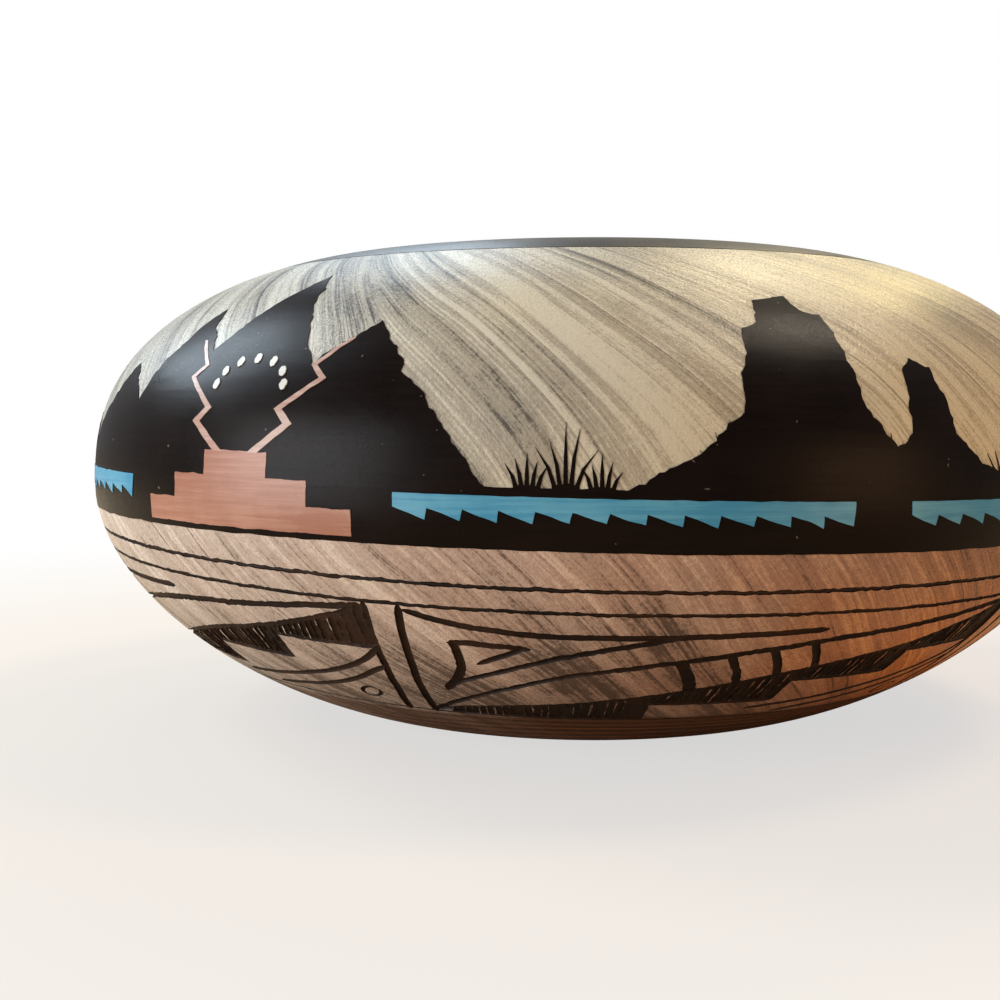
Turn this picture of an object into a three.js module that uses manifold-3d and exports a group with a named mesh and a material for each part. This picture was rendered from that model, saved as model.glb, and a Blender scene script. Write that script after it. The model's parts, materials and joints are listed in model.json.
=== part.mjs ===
// A squat hand-built pot of fired clay: a base disc, two wall sections and a mouth ring, luted
// together at lapped seams, with thin coats of paint on the outside of the wall.
// Millimetres, +Z up, origin at the centre of the underside. The front faces -Y.
import Module from "manifold-3d";
import * as THREE from "three";
import { TessellateModifier } from "three/addons/modifiers/TessellateModifier.js";
import { mergeVertices } from "three/addons/utils/BufferGeometryUtils.js";

// Clay body
const BELLY_RADIUS = 105; // outside, at the widest line
const BELLY_HEIGHT = 48; // height of the widest line
const POT_HEIGHT = 96; // underside to the crest of the lip
const FOOT_RADIUS = 46; // flat underside
const MOUTH_RADIUS = 46.5; // clear opening inside the lip
const WALL = 6; // thickness of the wall, the floor and the lip
const BOWL_POWERS = { across: 1.45, up: 1.83 }; // superellipse of the outside below the widest line
const SHOULDER_POWERS = { across: 1.59, up: 2.58 }; // and above it

// Seams between the clay pieces
const SLIP = 0.3; // clear line between two pieces that meet
const LAP = 5; // how far a seam's inner half reaches past its outer half
const BASE_BEVEL = 4; // slant of the base disc's edge
const MOUTH_RING_WIDTH = 20; // crest of the lip to the ring's seam, along the wall

// Coats of paint, with distances along the wall measured from the widest line
const COAT = 0.4; // thickness of one coat
const GROUND_BELOW = 5.7; // lower edge of the black ground band
const GROUND_ABOVE = 4; // its upper edge
const PANEL_MARGIN = 1.4; // black left above a turquoise panel
const PANEL_HEIGHT = 4.2; // of a turquoise panel, to the tips of its teeth
const TOOTH_DEPTH = 2;
const TERRACE_MARGIN = 1; // black left below a rose terrace
const TIER_RISE = 4.2; // height of one step of a terrace
const BOLT_WIDTH = 2.2; // of the rose lines above a terrace, around the pot
const DRIFT = 2.3; // how much higher the painting runs on the left side, and lower on the right

// Layout of the painting, in degrees around the pot; one repeat is centred on the front
const FULL_TURN = 360;
const REPEATS = 3;
const RANGE = [
  [-70, 0], [-58, 0.36], [-52, 0.22], [-46, 0.6], [-41, 0.4],
  [-33, 0.8], [-26, 0.34], [-20, 0.52], [-8, 0],
]; // each corner's angle, and its height as a share of the sky above the ground band
const BUTTES = [
  [4, 0], [10, 0.1], [14, 0.22], [15.4, 0.5], [17.2, 0.53], [17.8, 0.63], [21.8, 0.66], [22.6, 0.59],
  [24.6, 0.57], [25.8, 0.24], [28.6, 0.13], [30.4, 0.17], [31.2, 0.37], [32.6, 0.41], [34.8, 0.38],
  [35.8, 0.17], [39, 0.08], [46, 0],
];
const PANELS = [
  { from: -16, to: 24 },
  { from: 30, to: 70 },
];
const TEETH = 13; // along each panel
const TERRACE_AT = -33;
const TIER_HALF_WIDTHS = [13, 8.5, 4]; // from the lowest step up
const BOLT = [
  [2.2, 0], [6, 5], [4.6, 7.4], [8.8, 13], [7.4, 15.4], [10.6, 21],
]; // each corner's angle from the middle of its terrace, and its distance above the terrace

// Fineness of the facets
const TURNS = 48; // around the axis
const WALL_STEP = 9.5; // along the wall
const LIP_STEPS = 5; // around the lip
const STENCIL_STEP = 14; // longest edge of the facets of an outline's stencil
const STENCIL_SPLITS = 12; // times that a longer edge may be halved
const STENCIL_REACH = 3; // of a stencil to each side of the coat that it cuts out
const ARC_SAMPLES = 1200;

const CREST_RADIUS = MOUTH_RADIUS + WALL / 2;
const MIDDLE = WALL / 2; // depth of the face between a seam's two halves
const DEGREE = THREE.MathUtils.degToRad(BELLY_RADIUS); // one degree along the widest line

class OutsideCurve extends THREE.Curve {
  // Radius and height of the outside, with t from 0 at the foot through 0.5 at the widest line to 1
  getPoint(t, point = new THREE.Vector2()) {
    return t < 0.5 ? this.bowl(Math.PI * t, point) : this.shoulder(Math.PI * (t - 0.5), point);
  }

  bowl(turn, point) {
    const across = Math.sin(turn) ** (2 / BOWL_POWERS.across);
    const drop = Math.cos(turn) ** (2 / BOWL_POWERS.up);
    return point.set(THREE.MathUtils.lerp(FOOT_RADIUS, BELLY_RADIUS, across), BELLY_HEIGHT * (1 - drop));
  }

  shoulder(turn, point) {
    const across = Math.cos(turn) ** (2 / SHOULDER_POWERS.across);
    const rise = Math.sin(turn) ** (2 / SHOULDER_POWERS.up);
    const radius = THREE.MathUtils.lerp(CREST_RADIUS, BELLY_RADIUS, across);
    return point.set(radius, THREE.MathUtils.lerp(BELLY_HEIGHT, POT_HEIGHT, rise));
  }
}

const outside = new OutsideCurve();
outside.arcLengthDivisions = ARC_SAMPLES;
const CREST_ARC = outside.getLength(); // distances along the wall from the foot
const BELLY_ARC = outside.getLengths()[ARC_SAMPLES / 2];
const MOUTH_SEAM = CREST_ARC - MOUTH_RING_WIDTH;
const GROUND_EDGE = BELLY_ARC - GROUND_BELOW;
const GROUND_LINE = BELLY_ARC + GROUND_ABOVE;
const SKY = MOUTH_SEAM - GROUND_LINE - DRIFT;

// Radius and height of the point a given depth under the outside; paint has a negative depth
function wallPoint(arc, depth) {
  const share = arc / CREST_ARC;
  const along = outside.getTangentAt(share);
  const inward = new THREE.Vector2(-along.y, along.x);
  return outside.getPointAt(share).addScaledVector(inward, depth);
}

function arcSteps(from, to) {
  const count = Math.ceil(Math.abs(to - from) / WALL_STEP);
  return Array.from({ length: count + 1 }, (_, i) => THREE.MathUtils.lerp(from, to, i / count));
}

function wallRun(from, to, depth) {
  return arcSteps(from, to).map((arc) => wallPoint(arc, depth));
}

// Upper end of the piece below a seam, whose inner half stands up as a tongue
function tongue(seam) {
  const depth = MIDDLE + SLIP / 2;
  return [wallPoint(seam - SLIP / 2, depth), wallPoint(seam + LAP - SLIP / 2, depth)];
}

// Lower end of the piece above a seam, whose outer half comes down over the tongue
function rebate(seam) {
  const depth = MIDDLE - SLIP / 2;
  return [wallPoint(seam + LAP + SLIP / 2, depth), wallPoint(seam + SLIP / 2, depth)];
}

function revolve(profile) {
  const geometry = new THREE.LatheGeometry(profile, TURNS);
  return geometry.rotateX(Math.PI / 2);
}

function closed(points) {
  return [...points, points[0]];
}

function baseDisc() {
  const under = FOOT_RADIUS - SLIP;
  return revolve([
    new THREE.Vector2(0, 0),
    new THREE.Vector2(under, 0),
    new THREE.Vector2(under - BASE_BEVEL, WALL),
    new THREE.Vector2(0, WALL),
  ]);
}

function lowerWall() {
  return revolve(closed([
    ...wallRun(0, BELLY_ARC - SLIP / 2, 0),
    ...tongue(BELLY_ARC),
    ...wallRun(BELLY_ARC + LAP - SLIP / 2, 0, WALL),
    new THREE.Vector2(FOOT_RADIUS - BASE_BEVEL, WALL),
  ]));
}

function upperWall() {
  return revolve(closed([
    ...wallRun(BELLY_ARC + SLIP / 2, MOUTH_SEAM - SLIP / 2, 0),
    ...tongue(MOUTH_SEAM),
    ...wallRun(MOUTH_SEAM + LAP - SLIP / 2, BELLY_ARC + LAP + SLIP / 2, WALL),
    ...rebate(BELLY_ARC),
  ]));
}

function roundedLip() {
  const middle = new THREE.Vector2(CREST_RADIUS, POT_HEIGHT - MIDDLE);
  const points = [];
  for (let i = 1; i < LIP_STEPS; i += 1) {
    const turn = Math.PI * (0.5 + i / LIP_STEPS);
    const spoke = new THREE.Vector2(Math.cos(turn), Math.sin(turn));
    points.push(middle.clone().addScaledVector(spoke, MIDDLE));
  }
  return points;
}

function mouthRing() {
  return revolve(closed([
    ...wallRun(MOUTH_SEAM + SLIP / 2, CREST_ARC, 0),
    ...roundedLip(),
    ...wallRun(CREST_ARC, MOUTH_SEAM + LAP + SLIP / 2, WALL),
    ...rebate(MOUTH_SEAM),
  ]));
}

const wasm = await Module();
wasm.setup();

function toSolid(geometry) {
  geometry.deleteAttribute("normal");
  geometry.deleteAttribute("uv");
  const merged = mergeVertices(geometry);
  const vertProperties = merged.getAttribute("position").array;
  const triVerts = Uint32Array.from(merged.index.array);
  return new wasm.Manifold(new wasm.Mesh({ numProp: 3, vertProperties, triVerts }));
}

function toGeometry(solid) {
  const { vertProperties, triVerts } = solid.getMesh();
  const geometry = new THREE.BufferGeometry();
  geometry.setAttribute("position", new THREE.BufferAttribute(vertProperties, 3));
  geometry.setIndex(new THREE.BufferAttribute(triVerts, 1));
  geometry.computeVertexNormals();
  return geometry;
}

// Height above the clay of a coat's inside; the second coat lies over the first
function coatInside(layer) {
  return SLIP + (layer - 1) * (COAT + SLIP);
}

// Where a distance along the level wall lies at an angle around the pot, in a drawing that drifts
function drawnAt(angle, arc) {
  return arc - DRIFT * Math.sin(THREE.MathUtils.degToRad(angle));
}

function onWall(angle, arc, height) {
  const { x: radius, y: level } = wallPoint(arc, -height);
  const turn = THREE.MathUtils.degToRad(angle);
  return new THREE.Vector3(radius * Math.sin(turn), -radius * Math.cos(turn), level);
}

// An even shell all round the pot, from which the coats of one layer are cut
function coatShell(layer) {
  const inside = coatInside(layer);
  const lowest = GROUND_EDGE - DRIFT;
  return toSolid(revolve(closed([
    ...wallRun(lowest, MOUTH_SEAM, -inside - COAT),
    ...wallRun(MOUTH_SEAM, lowest, -inside),
  ])));
}

const shells = [1, 2].map(coatShell);

// A thick ring over the ground band, which cuts it out of its shell
function groundStencil() {
  const rising = arcSteps(GROUND_EDGE, GROUND_LINE).map((arc) => ({ arc, height: STENCIL_REACH }));
  const falling = arcSteps(GROUND_LINE, GROUND_EDGE).map((arc) => ({ arc, height: -STENCIL_REACH }));
  const section = closed([...rising, ...falling]);
  const geometry = revolve(section.map(({ arc, height }) => wallPoint(arc, -height)));
  const position = geometry.getAttribute("position");
  for (let i = 0; i < position.count; i += 1) {
    const angle = Math.floor(i / section.length) * (FULL_TURN / TURNS);
    const { arc, height } = section[i % section.length];
    position.setXYZ(i, ...onWall(angle, drawnAt(angle, arc), height));
  }
  return geometry;
}

// An outline's points have an angle around the pot and a distance along the wall. Its stencil is a
// thick plate bent over the wall.
function stencil(outline) {
  const sheet = outline.map(([angle, arc]) => new THREE.Vector2(angle * DEGREE, arc));
  const depth = 2 * STENCIL_REACH;
  const plate = new THREE.ExtrudeGeometry(new THREE.Shape(sheet), { depth, bevelEnabled: false });
  const geometry = new TessellateModifier(STENCIL_STEP, STENCIL_SPLITS).modify(plate);
  const position = geometry.getAttribute("position");
  for (let i = 0; i < position.count; i += 1) {
    const angle = position.getX(i) / DEGREE;
    const height = position.getZ(i) - STENCIL_REACH;
    position.setXYZ(i, ...onWall(angle, drawnAt(angle, position.getY(i)), height));
  }
  return geometry;
}

function cutCoat(cutter, layer) {
  return toGeometry(shells[layer - 1].intersect(toSolid(cutter)));
}

function coat(outline, layer) {
  return cutCoat(stencil(outline), layer);
}

function landform(corners, turn) {
  const foot = GROUND_LINE + SLIP;
  return coat(corners.map(([angle, height]) => [turn + angle, foot + height * SKY]), 1);
}

// A strip with a straight upper edge and slanting teeth along its lower one
function turquoisePanel({ from, to }, turn) {
  const top = GROUND_LINE - PANEL_MARGIN;
  const tip = top - PANEL_HEIGHT;
  const pitch = (to - from) / TEETH;
  const outline = [[turn + to, top], [turn + from, top]];
  for (let tooth = 0; tooth < TEETH; tooth += 1) {
    const start = turn + from + tooth * pitch;
    outline.push([start, tip + TOOTH_DEPTH], [start + pitch, tip]);
  }
  return coat(outline, 2);
}

// Steps up to the middle and down again, from a straight foot
function roseTerrace(turn) {
  const foot = GROUND_EDGE + TERRACE_MARGIN;
  const left = [];
  TIER_HALF_WIDTHS.forEach((half, tier) => {
    left.push([-half, foot + tier * TIER_RISE], [-half, foot + (tier + 1) * TIER_RISE]);
  });
  const right = left.map(([away, arc]) => [-away, arc]).reverse();
  return coat([...left, ...right].map(([away, arc]) => [turn + TERRACE_AT + away, arc]), 2);
}

// A zigzag line that rises from the top of a terrace; side is -1 on the left and 1 on the right
function roseBolt(turn, side) {
  const foot = GROUND_EDGE + TERRACE_MARGIN + TIER_HALF_WIDTHS.length * TIER_RISE + SLIP;
  const halfWidth = BOLT_WIDTH / 2 / DEGREE;
  const middle = BOLT.map(([away, rise]) => [turn + TERRACE_AT + side * away, foot + rise]);
  const left = middle.map(([angle, arc]) => [angle - halfWidth, arc]);
  const right = middle.map(([angle, arc]) => [angle + halfWidth, arc]);
  return coat([...right, ...left.reverse()], 2);
}

const group = new THREE.Group();

function addPiece(name, geometry, finish) {
  const mesh = new THREE.Mesh(geometry, new THREE.MeshStandardMaterial({ metalness: 0, ...finish }));
  mesh.name = name;
  group.add(mesh);
}

const baseClay = { color: 0x4a3526, roughness: 0.6 };
const etchedClay = { color: 0x8f6f58, roughness: 0.45 };
const brushedClay = { color: 0xada591, roughness: 0.4 };
const blackPaint = { color: 0x1b1715, roughness: 0.35 };
const turquoisePaint = { color: 0x4fa0c4, roughness: 0.4 };
const rosePaint = { color: 0xbf8269, roughness: 0.4 };

addPiece("base_disc", baseDisc(), baseClay);
addPiece("lower_wall", lowerWall(), etchedClay);
addPiece("upper_wall", upperWall(), brushedClay);
addPiece("mouth_ring", mouthRing(), blackPaint);
addPiece("ground_paint", cutCoat(groundStencil(), 1), blackPaint);
for (let repeat = 0; repeat < REPEATS; repeat += 1) {
  const turn = (repeat * FULL_TURN) / REPEATS;
  const copy = repeat + 1;
  addPiece(`range_paint_${copy}`, landform(RANGE, turn), blackPaint);
  addPiece(`butte_paint_${copy}`, landform(BUTTES, turn), blackPaint);
  PANELS.forEach((panel, i) => {
    addPiece(`turquoise_panel_${copy}_${i + 1}`, turquoisePanel(panel, turn), turquoisePaint);
  });
  addPiece(`rose_terrace_${copy}`, roseTerrace(turn), rosePaint);
  addPiece(`rose_bolt_${copy}_left`, roseBolt(turn, -1), rosePaint);
  addPiece(`rose_bolt_${copy}_right`, roseBolt(turn, 1), rosePaint);
}

export default group;
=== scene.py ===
"""Looks of a squat hand-built clay pot: brushed washes, an etched frieze and painted coats.

Sizes are written in millimetres and reach Blender in metres. Angles are degrees around the pot
from the front, which faces -Y, towards +X. An arc is a distance along the wall from the foot.
"""

import json
import logging
import math
import random
from bisect import bisect_left
from dataclasses import dataclass, replace
from enum import Enum, IntEnum

import bpy
from mathutils import Color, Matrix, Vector, noise

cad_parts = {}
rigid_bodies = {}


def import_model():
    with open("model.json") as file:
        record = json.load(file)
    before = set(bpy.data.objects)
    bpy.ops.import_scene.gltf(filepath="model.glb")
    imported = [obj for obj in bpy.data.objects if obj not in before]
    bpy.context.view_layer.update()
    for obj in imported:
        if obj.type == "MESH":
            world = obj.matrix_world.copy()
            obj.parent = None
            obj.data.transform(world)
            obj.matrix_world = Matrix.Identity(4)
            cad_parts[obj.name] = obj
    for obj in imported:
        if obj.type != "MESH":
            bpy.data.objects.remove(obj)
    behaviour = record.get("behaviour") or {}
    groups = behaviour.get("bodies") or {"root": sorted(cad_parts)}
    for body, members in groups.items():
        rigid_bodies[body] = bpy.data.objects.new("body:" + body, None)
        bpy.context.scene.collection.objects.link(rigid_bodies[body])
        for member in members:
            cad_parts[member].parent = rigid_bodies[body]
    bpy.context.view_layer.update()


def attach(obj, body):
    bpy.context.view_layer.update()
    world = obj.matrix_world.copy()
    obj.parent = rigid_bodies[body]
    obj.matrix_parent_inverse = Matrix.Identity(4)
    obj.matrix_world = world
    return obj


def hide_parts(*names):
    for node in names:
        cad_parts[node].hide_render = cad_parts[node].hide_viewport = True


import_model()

log = logging.getLogger("pot")

MM = 0.001
FULL_TURN = 360.0
TINY = 1e-9
MERGE = 1e-7
SEAM_MERGE = 2e-6
UNROLLED = "unrolled"

Pair = tuple[float, float]
Triple = tuple[float, float, float]
SheetPoint = Pair
Limits = Pair
Colour = tuple[float, float, float, float]
Rows = list[list[Vector]]
Piece = bpy.types.Object
Material = bpy.types.Material
Node = bpy.types.Node
Socket = bpy.types.NodeSocket

WHITE: Colour = (1.0, 1.0, 1.0, 1.0)


def srgb(red: int, green: int, blue: int) -> Colour:
    """Turn a colour as a screen shows it into the linear values that a shader takes."""
    linear = Color((red / 255, green / 255, blue / 255)).from_srgb_to_scene_linear()
    return (linear.r, linear.g, linear.b, 1.0)


def between(low: float, high: float, share: float) -> float:
    """Go a share of the way from one number to another."""
    return low + (high - low) * share


# The wall


@dataclass
class PotWall:
    """Outside of the clay wall, and the way that a drawing lies on it."""

    belly_radius: float = 105.0
    belly_height: float = 48.0
    pot_height: float = 96.0
    foot_radius: float = 46.0
    mouth_radius: float = 46.5
    thickness: float = 6.0
    bowl_across: float = 1.45
    bowl_up: float = 1.83
    shoulder_across: float = 1.59
    shoulder_up: float = 2.58
    drift: float = 2.3
    unevenness: float = 0.1
    swell: float = 42.0
    still_radius: float = 1.0
    samples: int = 3000

    def __post_init__(self) -> None:
        """Measure the outside once, in small steps from the foot to the crest of the lip."""
        self.points = [self._outline(step / self.samples) for step in range(self.samples + 1)]
        self.heights = [height for _, height in self.points]
        self.arcs = [0.0]
        for (r0, z0), (r1, z1) in zip(self.points, self.points[1:]):
            self.arcs.append(self.arcs[-1] + math.hypot(r1 - r0, z1 - z0))
        self.crest_arc = self.arcs[-1]
        self.belly_arc = self.arcs[self.samples // 2]
        self.degree = math.radians(self.belly_radius)

    @property
    def crest_radius(self) -> float:
        """Radius of the highest line of the lip."""
        return self.mouth_radius + self.thickness / 2

    def _outline(self, share: float) -> SheetPoint:
        """Find a point of the outside.

        Args:
            share: 0 at the foot, 0.5 at the belly and 1 at the crest of the lip.

        Returns:
            Radius and height in millimetres.
        """
        if share < 0.5:
            turn = math.pi * share
            across = math.sin(turn) ** (2 / self.bowl_across)
            drop = math.cos(turn) ** (2 / self.bowl_up)
            return between(self.foot_radius, self.belly_radius, across), self.belly_height * (1 - drop)
        turn = math.pi * (share - 0.5)
        across = max(math.cos(turn), 0.0) ** (2 / self.shoulder_across)
        rise = math.sin(turn) ** (2 / self.shoulder_up)
        radius = between(self.crest_radius, self.belly_radius, across)
        return radius, between(self.belly_height, self.pot_height, rise)

    def at(self, arc: float, depth: float = 0.0) -> SheetPoint:
        """Find the radius and height of a point under the outside.

        Args:
            arc: Distance along the wall from the foot.
            depth: Distance under the outside; a negative depth lies above it.

        Returns:
            Radius and height in millimetres.
        """
        step = min(max(bisect_left(self.arcs, arc), 1), self.samples)
        (r0, z0), (r1, z1) = self.points[step - 1], self.points[step]
        span = self.arcs[step] - self.arcs[step - 1]
        share = (arc - self.arcs[step - 1]) / span
        along_r, along_z = (r1 - r0) / span, (z1 - z0) / span
        return between(r0, r1, share) - along_z * depth, between(z0, z1, share) + along_r * depth

    def arc_at(self, height: float) -> float:
        """Find where the outside reaches a height.

        Args:
            height: Height in millimetres.

        Returns:
            Distance along the wall from the foot.
        """
        step = min(max(bisect_left(self.heights, height), 1), self.samples)
        z0, z1 = self.heights[step - 1], self.heights[step]
        share = min(max((height - z0) / max(z1 - z0, TINY), 0.0), 1.0)
        return between(self.arcs[step - 1], self.arcs[step], share)

    def settle(self, point: Vector) -> Vector:
        """Move a point in or out a little, as the hand-built wall isn't quite round.

        Args:
            point: Point of an even wall in millimetres.

        Returns:
            The point as the uneven wall carries it.
        """
        away = Vector((point.x, point.y, 0.0))
        if away.length < self.still_radius:
            return point
        return point + away.normalized() * (self.unevenness * noise.noise(point / self.swell))

    def place(self, angle: float, arc: float, height: float = 0.0) -> Vector:
        """Find a point on the wall.

        Args:
            angle: Degrees around the pot from the front.
            arc: Distance along the wall from the foot.
            height: Height above the clay.

        Returns:
            The point in metres.
        """
        radius, level = self.at(arc, -height)
        turn = math.radians(angle)
        point = Vector((radius * math.sin(turn), -radius * math.cos(turn), level))
        return self.settle(point) * MM

    def outward(self, angle: float, arc: float) -> Vector:
        """Direction in which the wall faces."""
        return (self.place(angle, arc, 1.0) - self.place(angle, arc, 0.0)).normalized()

    def drawn(self, angle: float, arc: float) -> float:
        """Arc at which a level line of the painting lies at an angle, as the painting drifts."""
        return arc - self.drift * math.sin(math.radians(angle))


# Modelling


class Bench:
    """Modelling steps that the pieces share, made with Blender's own operators."""

    @staticmethod
    def clear() -> None:
        """Leave nothing selected."""
        bpy.ops.object.select_all(action="DESELECT")

    @staticmethod
    def hold(piece: Piece) -> None:
        """Select one piece alone and make it active.

        Args:
            piece: Piece to work on.
        """
        Bench.clear()
        piece.select_set(True)
        bpy.context.view_layer.objects.active = piece

    @staticmethod
    def edit(piece: Piece) -> None:
        """Open a piece in edit mode with all of it selected.

        Args:
            piece: Piece to work on.
        """
        Bench.hold(piece)
        bpy.ops.object.mode_set(mode="EDIT")
        bpy.ops.mesh.select_all(action="SELECT")

    @staticmethod
    def close(doubles: float = MERGE) -> None:
        """Merge what meets, turn the faces outwards and leave edit mode.

        Args:
            doubles: Distance in metres under which corners are merged.
        """
        bpy.ops.mesh.select_all(action="SELECT")
        bpy.ops.mesh.remove_doubles(threshold=doubles)
        bpy.ops.mesh.dissolve_degenerate(threshold=doubles)
        bpy.ops.mesh.delete_loose()
        bpy.ops.mesh.select_all(action="SELECT")
        bpy.ops.mesh.normals_make_consistent(inside=False)
        bpy.ops.object.mode_set(mode="OBJECT")

    @staticmethod
    def name(name: str) -> Piece:
        """Name the primitive that was just added.

        Args:
            name: Name for the object and its mesh.

        Returns:
            The piece.
        """
        piece = bpy.context.object
        piece.name = name
        piece.data.name = name
        return piece

    @staticmethod
    def move(piece: Piece, points: list[Vector]) -> None:
        """Move each corner of a mesh to its own point."""
        piece.data.vertices.foreach_set("co", [part for point in points for part in point])
        piece.data.update()

    @staticmethod
    def outline(name: str, points: list[Vector], filled: bool) -> Piece:
        """Make a closed outline from a circle whose corners are moved.

        Args:
            name: Name of the piece.
            points: Corners in order.
            filled: Whether a face fills the outline.

        Returns:
            The outline as an object.
        """
        Bench.clear()
        fill = "NGON" if filled else "NOTHING"
        bpy.ops.mesh.primitive_circle_add(vertices=len(points), fill_type=fill)
        piece = Bench.name(name)
        Bench.move(piece, points)
        return piece

    @staticmethod
    def spun(name: str, profile: list[SheetPoint], steps: int, wall: PotWall) -> Piece:
        """Spin a closed profile once around the pot's axis.

        Args:
            name: Name of the piece.
            profile: Radius and height of each corner in millimetres.
            steps: Number of steps in the turn.
            wall: Wall whose unevenness the piece takes.

        Returns:
            The closed piece.
        """
        points = [Vector((radius * MM, 0.0, height * MM)) for radius, height in profile]
        piece = Bench.outline(name, points, filled=False)
        Bench.edit(piece)
        bpy.ops.mesh.spin(steps=steps, angle=math.tau, center=(0, 0, 0), axis=(0, 0, 1))
        Bench.close(doubles=SEAM_MERGE)
        Bench.move(piece, [wall.settle(corner.co / MM) * MM for corner in piece.data.vertices])
        return piece

    @staticmethod
    def rolled(name: str, rows: Rows) -> Piece:
        """Roll a grid into tubes, each closed at its ends or on itself.

        Args:
            name: Name of the piece.
            rows: Points of the tubes in metres, ring by ring; each ring ends on its first point.

        Returns:
            The closed tubes as one object.
        """
        Bench.clear()
        columns = len(rows[0]) - 1
        bpy.ops.mesh.primitive_grid_add(x_subdivisions=columns, y_subdivisions=len(rows) - 1)
        piece = Bench.name(name)
        Bench.move(piece, [point for row in rows for point in row])
        Bench.edit(piece)
        Bench.close()
        return piece

    @staticmethod
    def cut(piece: Piece, cutter: Piece) -> None:
        """Cut one closed mesh out of another.

        Args:
            piece: Piece that is cut.
            cutter: Piece that is taken out of it, and deleted.
        """
        Bench.hold(piece)
        step = piece.modifiers.new("cut", "BOOLEAN")
        step.object = cutter
        step.operation = "DIFFERENCE"
        step.solver = "MANIFOLD"
        step.material_mode = "TRANSFER"
        bpy.ops.object.modifier_apply(modifier=step.name)
        bpy.data.meshes.remove(cutter.data)

    @staticmethod
    def weed(piece: Piece) -> None:
        """Delete crumbs that cutting left loose.

        Args:
            piece: Piece that was cut; only what hangs together with its highest corner stays.
        """
        Bench.edit(piece)
        bpy.ops.mesh.select_all(action="DESELECT")
        bpy.ops.mesh.select_mode(type="VERT")
        bpy.ops.object.mode_set(mode="OBJECT")
        max(piece.data.vertices, key=lambda corner: corner.co.z).select = True
        bpy.ops.object.mode_set(mode="EDIT")
        bpy.ops.mesh.select_linked()
        bpy.ops.mesh.select_all(action="INVERT")
        bpy.ops.mesh.delete(type="VERT")
        bpy.ops.object.mode_set(mode="OBJECT")

    @staticmethod
    def smooth(piece: Piece, degrees: float) -> None:
        """Shade a piece smooth, apart from edges sharper than an angle."""
        Bench.hold(piece)
        bpy.ops.object.shade_smooth_by_angle(angle=math.radians(degrees))


# Hand movements


@dataclass(frozen=True)
class Hand:
    """Small unsteadiness of a hand that draws, the same on every run."""

    seed: float
    sway: float
    length: float

    def at(self, distance: float, lane: float = 0.0) -> float:
        """How far the hand strays at a distance along its stroke."""
        spot = Vector((distance / self.length, self.seed, lane))
        return self.sway * noise.noise(spot)


def eased(a: float, b: float, c: float, d: float, t: float) -> float:
    """Go a share of the way from the second to the third of four numbers, on a smooth curve."""
    return 0.5 * (2 * b + (c - a) * t + (2 * a - 5 * b + 4 * c - d) * t**2 + (3 * b - a - 3 * c + d) * t**3)


def beyond(end: SheetPoint, inner: SheetPoint) -> SheetPoint:
    """Mirror a point in the end of a path."""
    return 2 * end[0] - inner[0], 2 * end[1] - inner[1]


def smooth_path(points: list[SheetPoint], pieces: int = 24) -> list[SheetPoint]:
    """Draw a smooth curve through points.

    Args:
        points: Points that the curve passes through.
        pieces: Steps between two of them.

    Returns:
        Points close together along the curve.
    """
    knots = [beyond(points[0], points[1]), *points, beyond(points[-1], points[-2])]
    path = []
    for four in zip(knots, knots[1:], knots[2:], knots[3:]):
        for step in range(pieces):
            path.append(tuple(eased(*numbers, step / pieces) for numbers in zip(*four)))
    return path + [points[-1]]


# Finishes


class Value:
    """A number that changes over a surface; arithmetic on it adds Math nodes."""

    def __init__(self, nodes: "Nodes", socket: Socket) -> None:
        """Wrap an output socket."""
        self.nodes = nodes
        self.socket = socket

    def math(self, operation: str, *numbers: "Value | float") -> "Value":
        """Add a Math node that works on numbers, this one among them."""
        node = self.nodes.node("ShaderNodeMath", {"operation": operation}, dict(enumerate(numbers)))
        return Value(self.nodes, node.outputs[0])

    def __add__(self, other: "Value | float") -> "Value":
        """Sum."""
        return self.math("ADD", self, other)

    __radd__ = __add__

    def __sub__(self, other: "Value | float") -> "Value":
        """Difference."""
        return self.math("SUBTRACT", self, other)

    def __rsub__(self, other: "Value | float") -> "Value":
        """Difference from a number."""
        return self.math("SUBTRACT", other, self)

    def __mul__(self, other: "Value | float") -> "Value":
        """Product."""
        return self.math("MULTIPLY", self, other)

    __rmul__ = __mul__

    def __truediv__(self, other: "Value | float") -> "Value":
        """Quotient."""
        return self.math("DIVIDE", self, other)

    def floor(self) -> "Value":
        """Whole part."""
        return self.math("FLOOR", self)

    def parity(self) -> "Value":
        """0 for an even whole number and 1 for an odd one."""
        return self.math("PINGPONG", self, 1.0)

    def above(self, low: float, high: float) -> "Value":
        """Rise smoothly from 0 to 1.

        Args:
            low: Number at which the rise starts.
            high: Number at which it ends.

        Returns:
            The share that is reached.
        """
        limits = {"Value": self, "From Min": low, "From Max": high}
        node = self.nodes.node("ShaderNodeMapRange", {"interpolation_type": "SMOOTHSTEP"}, limits)
        return Value(self.nodes, node.outputs["Result"])


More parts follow.
